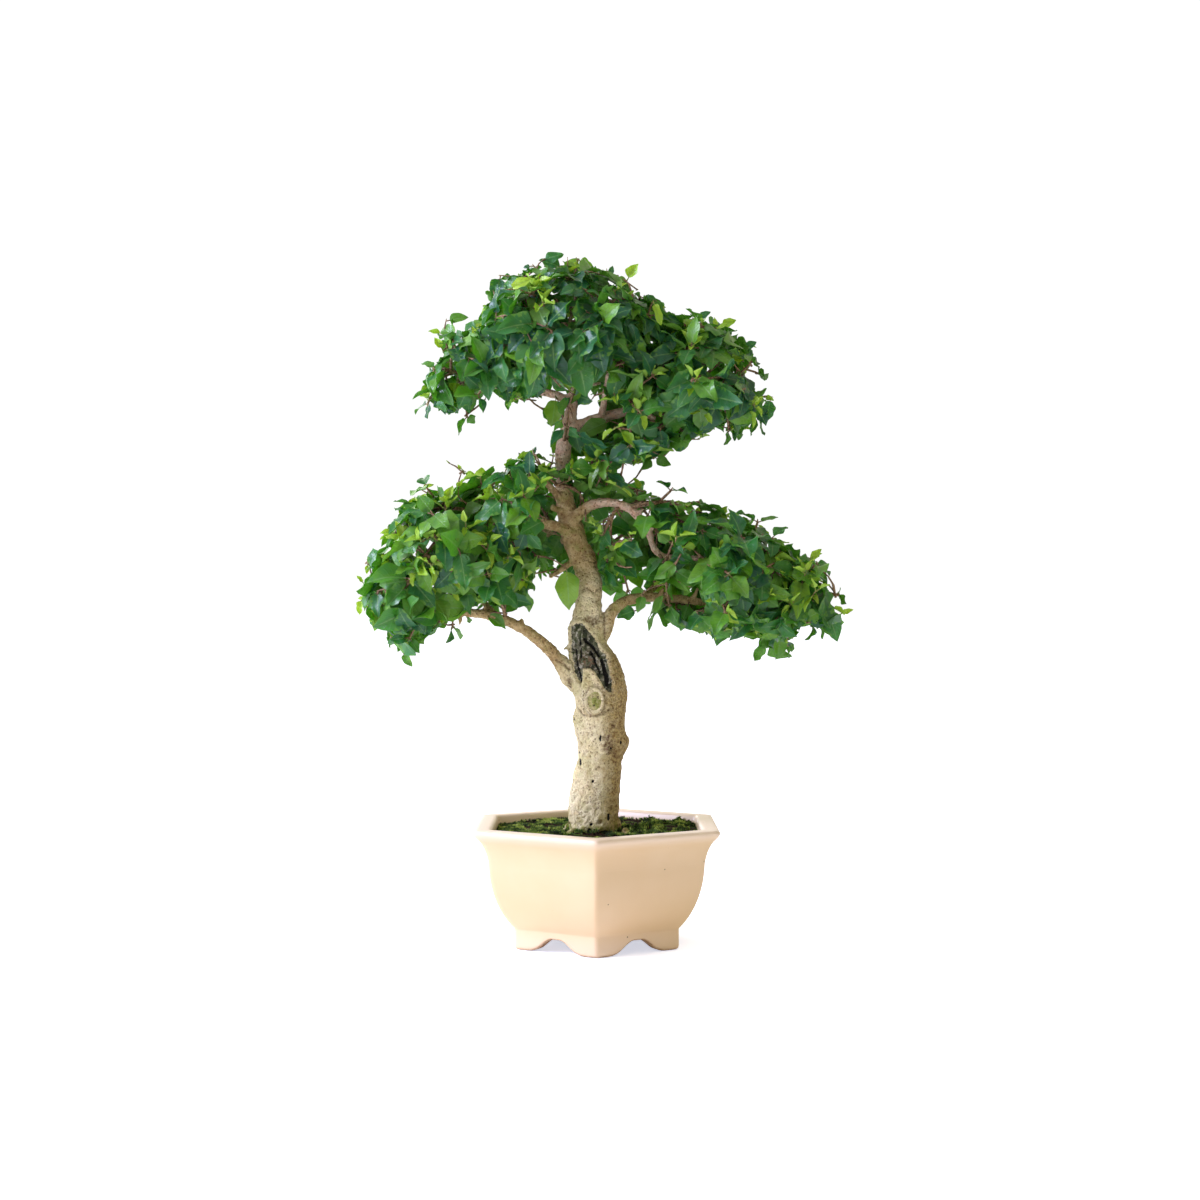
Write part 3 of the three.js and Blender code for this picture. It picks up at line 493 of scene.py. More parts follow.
bareWood = (  # limbs that show between the leaves: x and z along each, then the room kept free in front of it
    (((-34, 486), (-38, 462), (-37, 440)), 13), (((-30, 452), (-8, 466), (20, 474)), 10),
    (((-34, 398), (-27, 378), (-20, 362), (-14, 334), (-8, 300), (-8, 272)), 15),
    (((-24, 380), (-4, 393), (30, 391), (36, 384)), 8), (((47, 366), (57, 347), (80, 344), (94, 346)), 7),
    (((12, 292), (24, 304), (50, 310), (86, 306)), 8), (((-45, 372), (-60, 375)), 6),
    (((-106, 293), (-88, 291), (-60, 277), (-40, 260)), 8),
)
placed = (  # single leaves and young shoots that stand out: x, y, z, slope in the front view, size, age
    (-37, -4, 486, -98, 24, 0.45), (-27, -12, 332, -84, 34, 0.42), (-76, -30, 308, -12, 19, 0.1),
    (-96, -24, 292, -30, 19, 0.25), (41, -6, 310, -105, 15, 0.15), (34, 0, 297, -165, 17, 0.2),
    (59, 2, 303, -60, 21, 0.15), (82, 2, 302, -110, 24, 0.1), (97, 0, 296, -80, 21, 0.15),
    (117, 0, 288, -115, 24, 0.2), (131, 4, 284, -30, 21, 0.3), (135, 6, 299, -75, 19, 0.2),
    (165, -10, 275, -100, 21, 0.1), (207, -4, 297, -70, 29, 0), (186, -20, 317, -100, 31, 0),
    (221, -4, 295, 25, 10, 0.8), (76, -30, 361, 165, 17, 0.75), (81, -32, 362, -15, 15, 0.7),
    (95, -32, 361, 3, 10, 0.7), (79, -30, 359, -70, 10, 0.75), (92, -46, 489, -108, 22, 0.6),
    (27, -12, 456, -66, 30, 0.35), (9, -10, 466, -155, 29, 0.3), (-19, -14, 457, -80, 20, 0.2),
    (-73, -70, 576, 25, 19, 0.8), (-52, -70, 578, -30, 11, 0.7), (118, -40, 518, 5, 17, 0.8),
    (108, -42, 522, 150, 8, 0.8), (50, -60, 563, -70, 19, 0.75), (125, -20, 533, -85, 17, 0.7),
    (28, -40, 590, 60, 15, 0.7), (18, -50, 578, 40, 10, 0.7), (-126, 0, 502, -100, 20, 0.7),
    (-134, 4, 531, -80, 15, 0.35), (-140, 0, 534, 120, 11, 0.8), (-141, 0, 547, 165, 11, 0.85),
    (-149, 4, 501, -140, 15, 0.5), (-137, -6, 495, -85, 22, 0), (-119, -10, 498, -75, 24, 0),
    (152, 0, 489, -15, 8, 0.7), (144, 4, 491, 100, 4, 0.6), (145, 0, 479, -60, 17, 0.1),
    (156, 0, 486, -100, 19, 0.1), (-90, -50, 344, -90, 15, 0.75), (-118, 0, 421, -20, 13, 0.7),
    (-99, -4, 421, -165, 13, 0.6), (-122, 0, 425, 135, 5, 0.9), (-135, 0, 432, 140, 1, 0.9),
    (-156, 0, 408, 20, 10, 0.75), (-181, -30, 366, 175, 11, 0.7), (-175, -30, 371, -20, 13, 0.65),
    (-211, 0, 323, 130, 8, 0.7), (-203, -10, 308, 175, 11, 0.9), (-211, -8, 306, -95, 13, 0.8),
    (-182, -20, 308, 80, 11, 0.9), (-179, -16, 293, -60, 15, 0.8), (-193, -10, 297, -110, 19, 0.4),
    (-181, -6, 281, -110, 10, 0.5), (-173, -6, 275, -80, 13, 0.5), (-166, -8, 277, -40, 15, 0.2),
    (-173, -6, 258, -60, 13, 0.1), (-207, 4, 338, -95, 8, 0.8), (-199, 4, 347, 170, 6, 0.8),
    (-163, -30, 302, -150, 10, 0.8), (192, -6, 344, 40, 13, 0.8), (189, -10, 333, 15, 17, 0.75),
    (183, -12, 329, -60, 13, 0.7), (199, -2, 348, 10, 4, 0.8), (39, 4, 408, 120, 11, 0.75),
    (9, 4, 410, -100, 17, 0.4), (9, 0, 432, -85, 15, 0.75), (26, 0, 409, 20, 4, 0.8),
    (-18, 0, 612, 95, 0, 0.9), (-46, -8, 612, 20, 17, 0.05), (-60, -6, 606, -175, 6, 0),
    (-28, 0, 606, 35, 15, 0.35), (-15, 0, 612, -35, 17, 0.3), (-33, -4, 606, 160, 20, 0),
    (12, -6, 599, 70, 8, 0.2), (53, 0, 576, 150, 10, 0.05), (93, 0, 561, 30, 11, 0.05),
    (113, -4, 554, 20, 13, 0.75), (107, -4, 551, 100, 10, 0.6), (134, -4, 533, 35, 11, 0.05),
    (-87, -8, 594, -100, 20, 0), (-90, -20, 578, -60, 26, 0), (-132, -4, 558, 10, 17, 0.05),
)
gaps = (  # openings in the foliage through which light shows: x, z and radius
    (18, 371, 11), (-1.5, 384, 6), (7, 350, 6), (20, 339, 6), (36, 322, 9), (25, 314, 9), (-9.5, 473, 7),
    (-26, 408, 5), (-58, 390, 5), (-156, 354, 8), (-168, 348, 5), (32, 347, 4),
)
crowd, allTips, roof = {}, [], np.array((0, 0, 1.0))


def takeRoom(leaf, room):
    middle = leaf["base"] + leaf["along"] * (foliage["petiole"] + 0.5 * leaf["size"])
    cell = tuple(int(math.floor(value / fill["room"])) for value in middle)
    for step in itertools.product((-1, 0, 1), repeat=3):
        for other in crowd.get(tuple(a + b for a, b in zip(cell, step)), []):
            if np.linalg.norm(other - middle) < room:
                return False
    crowd.setdefault(cell, []).append(middle)
    return True


def isWithin(points):
    reach = view["distance"] / (view["distance"] + points[:, 1])
    x = (points[:, 0] - view["shift"]) * reach + view["shift"]
    z = (points[:, 2] - view["height"]) * reach + view["height"]
    inside = np.logical_or.reduce([liesIn(x, z, outline) for outline in outlines.values()])
    for path, room in bareWood:
        inside &= (points[:, 1] > fill["behind"]) | (toPath(x, z, path) > room)
    for middle, height, radius in gaps:
        inside &= np.hypot(x - middle, z - height) > radius
    return inside


def drapedLeaf(point, outward, heading, size, age, draw):
    downhill = outward * outward[2] - roof
    heading = unit(heading - outward * heading.dot(outward) + 1e-6)
    loose = chanceWay(draw, 1)
    if age > drape["adult"]:
        a, b, c, d = drape["youngAlong"]
        along = unit(a * heading + b * outward + c * roof + d * loose)
        a, b, c = drape["youngFace"]
        face = a * outward + b * roof + c * loose
    else:
        a, b, c = drape["along"]
        along = unit(a * heading + draw.uniform(*drape["downhill"]) * downhill + b * outward + c * loose)
        a, b = drape["face"]
        face = outward + a * roof + b * loose
    face = unit(face - along * face.dot(along))
    return {"base": point, "along": along, "face": face, "size": size, "age": age}


def addPair(point, outward, turn, size, age, draw, found):
    first = unit(np.cross(outward, (0.3, 0.9, 0.2)))
    second = np.cross(outward, first)
    room = min(fill["room"], growth["roomShare"] * size)
    for hand in (0, math.pi):
        for _ in range(fill["tries"]):
            angle = turn + hand + draw.uniform(-growth["swing"], growth["swing"])
            heading = first * math.cos(angle) + second * math.sin(angle)
            leaf = drapedLeaf(point, outward, heading, size * draw.uniform(*growth["spread"]), age, draw)
            side = np.cross(leaf["along"], leaf["face"]) * growth["halfWidth"] * leaf["size"]
            middle = point + leaf["along"] * (foliage["petiole"] + 0.5 * leaf["size"])
            tip = point + leaf["along"] * (foliage["petiole"] + leaf["size"])
            if isWithin(np.array([tip, middle + side, middle - side])).all() and takeRoom(leaf, room):
                found.append(leaf)
                break


def leafAlong(shoot, outward, draw, found, isYoung):
    steps = np.linalg.norm(np.diff(shoot[:, :3], axis=0), axis=1)
    far = np.concatenate([[0], np.cumsum(steps)])
    turn = draw.uniform(0, math.pi)
    for k, distance in enumerate(growth["youngPairs" if isYoung else "pairs"]):
        if far[-1] - distance < growth["bare"] * far[-1]:
            break
        point = np.array([np.interp(far[-1] - distance, far, shoot[:, i]) for i in range(3)])
        if isYoung:
            age = max(0, draw.uniform(*growth["youngAge"]) - growth["ageing"] * k)
        else:
            age = draw.uniform(*growth["age"])
        if isYoung and k < growth["small"]:
            size = draw.uniform(*growth["youngSizes"]) + growth["widening"] * k
        else:
            size = draw.uniform(*growth["sizes"])
        addPair(point, outward, turn + k * math.pi / 2, size, age, draw, found)


def outwardAt(centre, radii, point):
    return unit((point - centre) / np.square(radii))


def fillMass(name, centre, radii, lowest, draw):
    centre, radii = np.array(centre, float), np.array(radii, float)
    members = [sprays[member] for member in groups[name]]
    joints = np.vstack([shoot[:, :3] for spray in members for shoot in spray["shoots"]])
    owners = [spray for spray in members for shoot in spray["shoots"] for _ in shoot]
    turn = np.array([draw.uniform(0, 2 * math.pi) for _ in range(fill["drawn"])])
    polar = np.arccos(1 - np.array([draw.random() for _ in turn]) * (1 - math.cos(lowest)))
    ways = np.column_stack([np.cos(turn) * np.sin(polar), np.sin(turn) * np.sin(polar), np.cos(polar)])
    drawn = centre + ways * radii * np.array([[draw.uniform(*fill["depth"])] for _ in turn])
    free = isWithin(drawn)
    for other, size, _ in masses.values():
        free &= (((drawn - other) / size) ** 2).sum(1) > (0 if other == tuple(centre) else fill["apart"])
    spacing = fill["spacing"] * fill["open"].get(name, 1)
    young = fill["young"] * (fill["youngCrown"] if name.startswith("crown") else 1)
    tips = []
    for tip in drawn[free]:
        if not allTips or np.linalg.norm(np.array(allTips) - tip, axis=1).min() > spacing:
            allTips.append(tip)
            tips.append(tip)
    for tip in tips:
        outward = outwardAt(centre, radii, tip)
        nearest = int(((joints - tip + growth["inward"] * outward) ** 2).sum(1).argmin())
        root, spray = joints[nearest], owners[nearest]
        isYoung = draw.random() < young
        end = tip
        if isYoung:
            end = tip + unit(outward + growth["rise"] * roof) * draw.uniform(*growth["reach"])
            end = end if isWithin(end[None]).all() else tip
        bow = outward * growth["bow"] * np.linalg.norm(tip - root)
        bend = (root + tip) / 2 + bow + chanceWay(draw, growth["loose"])
        stations = (root, bend, tip, end + growth["past"] * (tip - bend))
        shoot = np.array([[*station, radius] for station, radius in zip(stations, growth["radii"])])
        spray["shoots"].append(shoot)
        leafAlong(shoot, outward, draw, spray["leaves"], isYoung)


def placeLeaf(x, y, z, slope, size, age, draw):
    along = np.array((math.cos(math.radians(slope)), -0.12, math.sin(math.radians(slope))))
    root = np.array((x, y, z)) - along * foliage["petiole"]
    far = {name: ((root - masses[name][0]) ** 2 / np.square(masses[name][1])).sum() for name in masses}
    spray = sprays[groups[min(far, key=far.get)][0]]
    along = unit(along)
    face = np.array((draw.uniform(-0.35, 0.35), -1, draw.uniform(0.1, 0.5)))
    face = unit(face - along * face.dot(along))
    spray["leaves"].append({"base": root, "along": along, "face": face, "size": size, "age": age})
    members = [sprays[member] for names in groups.values() for member in names]
    joints = np.vstack([shoot[:, :3] for member in members for shoot in member["shoots"]])
    start = joints[np.linalg.norm(joints - root, axis=1).argmin()]
    bend = (start + root) / 2 + 0.1 * np.linalg.norm(start - root) * roof
    spray["shoots"].append(np.array([[*start, 1.0], [*bend, 0.8], [*root, 0.6]]))


def growFoliage():
    for spray in sprays.values():
        for leaf in spray["leaves"]:
            tip = leaf["base"] + leaf["along"] * (foliage["petiole"] + fill["heldAt"] * leaf["size"])
            leaf["size"] *= 1 if isWithin(tip[None])[0] else fill["held"]
            takeRoom(leaf, 0)
    draw = random.Random(fill["seed"])
    for name, (centre, radii, _) in masses.items():
        for member in groups[name]:
            for shoot in list(sprays[member]["shoots"]):
                outward = outwardAt(np.array(centre), radii, shoot[-1, :3])
                isYoung = draw.random() < fill["youngModel"]
                leafAlong(shoot, outward, draw, sprays[member]["leaves"], isYoung)
    for name, *mass in [(name, *mass) for name, mass in masses.items()] + list(between):
        fillMass(name, *mass, draw)
    for leaf in placed:
        placeLeaf(*leaf, draw)


growFoliage()
print("shoots added:", len(allTips), "leaves in all:", countLeaves(), flush=True)

# A leaf's blade: rows from base to tip, columns from edge to edge, a top and an under face

blade = {
    "rows": (0.045, 0.13, 0.25, 0.38, 0.52, 0.66, 0.8, 0.92),
    "halves": (0.17, 0.29, 0.362, 0.38, 0.358, 0.292, 0.188, 0.078),
    "columns": (-1, -0.55, 0, 0.55, 1),
    "depth": 0.45, "stalkSides": 3, "stalk": (0.75, 0.5), "sunk": 0.05,
    "chance": {  # drawn for each leaf, in this order
        "width": (0.72, 1.04), "waves": (1.1, 1.9), "phase": (0, 6.28), "hand": (1.2, 2.6),
        "edge": (0.03, 0.13), "fold": (0.05, 0.75), "curl": (0.2, 0.9), "ripple": (0.03, 0.12),
        "drop": (-0.06, 0.24), "sway": (-0.07, 0.07),
    },
    "youngSlim": 0.25, "youngFold": 0.4, "edgeWaves": 0.7,
}
twig = {
    "step": 5, "loose": 0.4, "thin": 0.86, "knots": 0.12, "knotTurn": 2.1, "back": 3, "past": 2, "end": 0.35,
    "sides": 5,
}
tones = {"crown": 2.1, "other": 0.95}  # a higher power gives darker leaves


def bladeTopology():
    rows, columns = len(blade["rows"]), len(blade["columns"])
    top = 2 + np.arange(rows * columns).reshape(rows, columns)
    under = top.copy()
    under[:, 1:-1] = 2 + rows * columns + np.arange(rows * (columns - 2)).reshape(rows, -1)
    faces, isUnder = [], []
    for c in range(columns - 1):
        for grid, flip in ((top.tolist(), False), (under.tolist(), True)):
            strip = [(0, grid[0][c + 1], grid[0][c])]
            strip += [(a[c], a[c + 1], b[c + 1], b[c]) for a, b in zip(grid, grid[1:])]
            strip += [(grid[-1][c], grid[-1][c + 1], 1)]
            faces += [face[::-1] for face in strip] if flip else strip
            isUnder += [float(flip)] * len(strip)
    return faces, isUnder


bladeFaces, bladeUnder = bladeTopology()


def bladePoints(leaf, draw):
    u = np.concatenate([[0, 1], np.repeat(blade["rows"], len(blade["columns"]))])
    v = np.concatenate([[0, 0], np.tile(blade["columns"], len(blade["rows"]))])
    half = np.concatenate([[0, 0], np.repeat(blade["halves"], len(blade["columns"]))])
    size, age = leaf["size"], leaf["age"]
    chance = {key: draw.uniform(*span) for key, span in blade["chance"].items()}

    def waved(count):
        return np.sin(6.28 * count * u + chance["phase"] + chance["hand"] * np.sign(v))

    half = half * (chance["width"] - blade["youngSlim"] * age)
    edge = 1 + chance["edge"] * waved(chance["waves"] + blade["edgeWaves"]) * (half > 0)
    across = v * half * edge
    fold = chance["fold"] + blade["youngFold"] * age
    lift = fold * np.abs(across) - chance["curl"] * across ** 2 * (1 - age)
    lift = lift + chance["ripple"] * waved(chance["waves"]) * np.abs(v) ** 1.5
    drop = foliage["droop"] * u ** 2 + chance["drop"] * u ** 3 * (1 - age)
    side = np.cross(leaf["along"], leaf["face"])
    flat = leaf["base"] + np.outer(foliage["petiole"] + u * size, leaf["along"])
    points = flat + np.outer((across + chance["sway"] * u ** 2) * size, side)
    points = points + np.outer((lift - drop) * size, leaf["face"])
    inner = np.where(np.abs(v[2:]) < 1)[0] + 2
    below = points[inner] - blade["depth"] * leaf["face"]
    order = np.concatenate([np.arange(len(u)), inner])
    return np.vstack([points, below]), np.stack([u, v, 0 * u], 1)[order]


def stalkOf(leaf):
    end = leaf["base"] + leaf["along"] * (foliage["petiole"] + blade["sunk"] * leaf["size"])
    return tubeAlong([leaf["base"], end], blade["stalk"], blade["stalkSides"])


def twigOf(shoot, draw):
    count = max(3, int(np.linalg.norm(shoot[-1, :3] - shoot[0, :3]) / twig["step"]))
    rows = splineAt(shoot, np.linspace(0, 1, count))
    rows[:, :3] += np.array([chanceWay(draw, twig["loose"]) for _ in rows])
    radii = twig["thin"] * rows[:, 3] * (1 + twig["knots"] * np.sin(np.arange(count) * twig["knotTurn"]))
    back = rows[0, :3] - unit(rows[1, :3] - rows[0, :3]) * twig["back"]
    ahead = rows[-1, :3] + unit(rows[-1, :3] - rows[-2, :3]) * twig["past"]
    radii = np.concatenate([[radii[0]], radii, [twig["end"]]])
    return tubeAlong(np.vstack([back, rows[:, :3], ahead]), radii, twig["sides"])


def makeFoliage(name, members, looks):
    draw = random.Random(name)
    power = tones["crown" if name.startswith("crown") else "other"]
    parts, place, tone, ages, isUnder, look = [], [], [], [], [], []

    def addPart(points, faces, where, shade, age, under, which):
        parts.append((points, faces))
        place.append(where)
        tone.extend([shade] * len(points))
        ages.extend(age)
        isUnder.extend(under)
        look.extend([which] * len(faces))

    for member in members:
        for leaf in sprays[member]["leaves"]:
            points, where = bladePoints(leaf, draw)
            shade = draw.random() ** power
            addPart(points, bladeFaces, where, shade, [leaf["age"]] * len(points), bladeUnder, 0)
            points, faces = stalkOf(leaf)
            age = [leaf["age"]] * len(points)
            addPart(points, faces, np.zeros((len(points), 3)), shade, age, [0.0] * len(faces), 1)
        for shoot in sprays[member]["shoots"]:
            points, faces = twigOf(shoot, draw)
            age = np.linspace(0, 0.5, len(points)).tolist()
            addPart(points, faces, np.zeros((len(points), 3)), draw.random(), age, [0.0] * len(faces), 1)
    points, faces = gather(parts)
    made = makeObject("leaves_" + name, points + potAxis, faces, looks)
    mesh = made.data
    mesh.polygons.foreach_set("material_index", look)
    giveAttribute(mesh, "leafPlace", np.vstack(place), kind="FLOAT_VECTOR")
    giveAttribute(mesh, "leafTone", tone)
    giveAttribute(mesh, "leafAge", ages)
    giveAttribute(mesh, "leafUnder", isUnder, "FACE")
    rims = bmesh.new()
    rims.from_mesh(mesh)
    layer = rims.faces.layers.float["leafUnder"]
    for edge in rims.edges:
        sides = [face[layer] for face in edge.link_faces]
        if len(sides) == 2 and sides[0] != sides[1]:
            edge.smooth = False
    rims.to_mesh(mesh)
    rims.free()
    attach(made, "root")
    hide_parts(*members)


def leafMaterial():
    made, tree, place = startMaterial("leaf")
    where = addNode(tree, "ShaderNodeAttribute", attribute_name="leafPlace").outputs["Vector"]
    split = addNode(tree, "ShaderNodeSeparateXYZ", {0: where})
    u, v = split.outputs[0], maths(tree, "ABSOLUTE", split.outputs[1])
    tone, age, under = (valueOf(tree, name) for name in ("leafTone", "leafAge", "leafUnder"))
    midrib = ranged(tree, v, 0.03, 0.1, 1, 0)
    slant = maths(tree, "MULTIPLY_ADD", v, -1.9, times(tree, u, 6.5))
    wave = maths(tree, "ABSOLUTE", maths(tree, "SUBTRACT", maths(tree, "FRACT", slant), 0.5))
    veins = times(tree, ranged(tree, wave, 0.03, 0.14, 1, 0), ranged(tree, v, 0.9, 0.6))
    mottle, fine = noisy(tree, place, 9, 4), noisy(tree, place, 1.6, 3)
    old = layered(
        tree, "#265847", (tone, 0, 0.5, 1, "#40873a"), (tone, 0.45, 1, 1, "#84bd3a"),
        (mottle, 0.44, 0.7, 0.45, "#2f7450"),
    )
    top = layered(
        tree, old, (age, 0.12, 0.65, 1, mixed(tree, tone, "#9dcc30", "#cdea58")),
        (times(tree, midrib, 0.55), "#9cc878"), (times(tree, veins, 0.14), "#74a65a"),
        (v, 0.86, 1, 0.3, "#86b748"),
    )
    ribs = times(tree, plus(tree, midrib, veins), 0.3)
    back = layered(tree, "#6fa544", (age, 0.2, 0.8, 1, "#b2db58"), (ribs, "#b5d27c"))
    shown = layered(tree, top, (under, back), (fine, 0.3, 0.7, 0.12, "#0d2c17"))
    relief = maths(tree, "MULTIPLY_ADD", fine, 0.35, plus(tree, times(tree, midrib, -0.8), veins))
    normal = bumped(tree, relief, 0.16, 0.7)
    rough = plus(tree, ranged(tree, mottle, 0.35, 0.7, 0.27, 0.42), times(tree, under, 0.2))
    surface = surfaceOf(tree, shown, rough, {"Specular IOR Level": 0.6, "Normal": normal})
    glow = layered(tree, "#8fd02a", (age, 0.1, 0.8, 1, "#e2f668"))
    finishMaterial(tree, thinOf(tree, surface, 0.4, {"Color": glow, "Normal": normal}))
    return made


def twigMaterial():
    made, tree, place = startMaterial("twig")
    grain = noisy(tree, place, 2.2, 4)
    shown = layered(
        tree, "#6a4d34", (grain, 0.35, 0.65, 1, "#a58763"),
        (valueOf(tree, "leafAge"), 0.3, 0.6, 1, mixed(tree, grain, "#7a8c3a", "#a3b556")),
    )
    finishMaterial(tree, surfaceOf(tree, shown, 0.7, {"Normal": bumped(tree, grain, 0.3)}))
    return made


foliageLooks = [leafMaterial(), twigMaterial()]
for name, members in groups.items():
    makeFoliage(name, members, foliageLooks)
print("foliage:", len(groups), "pieces", flush=True)

# Wood: the limbs of the model through the same stations, with bark, hollow and knots

limbs = {
    "trunk": [
        [-2.4, 0, 101.5, 22], [-2.6, 0, 108, 22.6], [-2.8, 0, 122, 22.1], [0.9, 0, 150, 21.6],
        [3, 0, 164, 20], [3.4, 0, 180, 21.4], [2.3, 0, 197, 22.6], [4.3, 1, 215, 22.6],
        [3.4, 1, 230, 22.8], [-2, 2, 246, 22.2], [-6.6, 3, 260, 18.6], [-9.4, 4, 274, 15.6],
        [-9.3, 5, 287, 13.4], [-7, 5, 301, 12], [-7.4, 6, 322, 11.3], [-10.9, 6, 341, 11],
        [-18.6, 7, 356, 11], [-22.6, 8, 372, 10.8], [-27, 9, 388, 9], [-30.2, 10, 412, 7.6],
        [-30.4, 9, 441, 7.2], [-27, 7, 457, 6.4], [-22, 5, 486, 5.2], [-23, 2, 520, 3.8],
        [-26, 0, 552, 2.6],
    ],
    "lowLeft": [
        [-10, 0, 226, 9], [-21, -3, 235.5, 9.3], [-29, -5, 246, 7.8], [-36, -7, 255, 6.2],
        [-46.5, -10, 266.5, 5.5], [-64, -15, 280, 4.9], [-76, -18, 286.4, 4.7], [-88, -20, 290.5, 4.4],
        [-102, -20, 294.4, 4.1], [-118, -18, 295.5, 3.7], [-134, -14, 295, 3.2],
        [-158, -6, 303, 2.5], [-176, 2, 314, 1.8],
    ],
    "lowLeftRear": [[-90, -20, 293, 3], [-104, -4, 308, 2.6], [-116, 22, 322, 2.2], [-122, 42, 334, 1.8]],
    "midLeft": [
        [-18, 4, 362, 6.5], [-30, -4, 370.4, 5], [-41, -9, 373.8, 4.4], [-54, -13, 374.9, 3.8],
        [-66, -16, 375, 3.2], [-84, -18, 380, 2.6], [-104, -16, 386, 2],
    ],
    "midLeftFront": [[-50, -12, 375, 3], [-58, -32, 382, 2.6], [-64, -52, 386, 2]],
    "highLeft": [[-27, 9, 392, 4.5], [-36, 0, 402, 3.6], [-44, -14, 410, 2.8], [-50, -28, 414, 2]],
    "rearLeft": [[-17, 8, 352, 5], [-30, 26, 360, 4], [-48, 48, 370, 3.2], [-66, 68, 378, 2.2]],
    "deadStub": [[-22, 8, 342, 3.4], [-33, 18, 334, 2.6], [-43, 24, 328, 2]],
    "shortStub": [[-27, 6, 382, 4], [-35, 0, 387.5, 3.2], [-41, -4, 390.4, 2.8]],
    "highRight": [
        [-26, 6, 374, 6.5], [-18.7, -1, 381.5, 5.6], [-5.8, -8, 391.4, 4.8], [10.2, -13, 393.8, 4.2],
        [24, -17, 390.6, 3.9], [34, -18, 384, 3.6], [45, -18, 370.8, 3.2], [50, -18, 355, 3],
        [58, -16, 346.5, 2.9], [74, -14, 344, 2.7], [93, -12, 345, 2.4], [116, -12, 352, 2],
    ],
    "highRightTop": [[28, -17, 388.6, 3], [44, -10, 393, 2.6], [62, 0, 392, 2.2], [80, 8, 388, 1.8]],
    "lowRight": [
        [-2, 4, 262, 9], [6, 3, 279, 7.4], [11.4, 3, 292.6, 6.2], [19, 4, 301.4, 5.4],
        [31, 5, 307, 4.8], [47.4, 6, 309.6, 4.3], [63.5, 7, 308.4, 4], [78, 7, 307.4, 3.6],
        [92, 6, 305, 3.3], [112, 4, 307, 2.9], [136, 2, 312, 2.5], [160, 2, 320, 1.9],
    ],
    "lowRightRear": [[40, 6, 308.5, 3.4], [52, 24, 318, 2.8], [66, 46, 328, 2.4], [78, 64, 334, 1.8]],
    "rear": [[-8, 8, 322, 6], [-4, 24, 332, 4.6], [2, 48, 346, 3.6], [8, 76, 356, 2.4]],
    "crownRight": [
        [-27, 8, 456, 5.6], [-16, 5, 464, 5.2], [2, 2, 470.6, 4.8], [24, 0, 476, 4.3], [44, -3, 482, 3.7],
        [66, -4, 492, 3.1], [92, -4, 502, 2.3],
    ],
    "crownLeft": [
        [-22, 5, 484, 4.2], [-38, 2, 492, 3.8], [-64, 2, 496, 3.2], [-92, 4, 500, 2.6], [-116, 6, 506, 1.9],
    ],
    "crownFront": [[4, 2, 471, 3.6], [6, -18, 480, 3], [8, -42, 492, 2.5], [10, -64, 502, 1.9]],
    "crownRear": [[-23, 4, 495, 3.8], [-14, 26, 502, 3.2], [-4, 52, 508, 2.6], [6, 78, 512, 1.9]],
    "crownUnder": [[26, 0, 476, 3.2], [38, -12, 474, 2.8], [52, -24, 468, 2.2]],
}
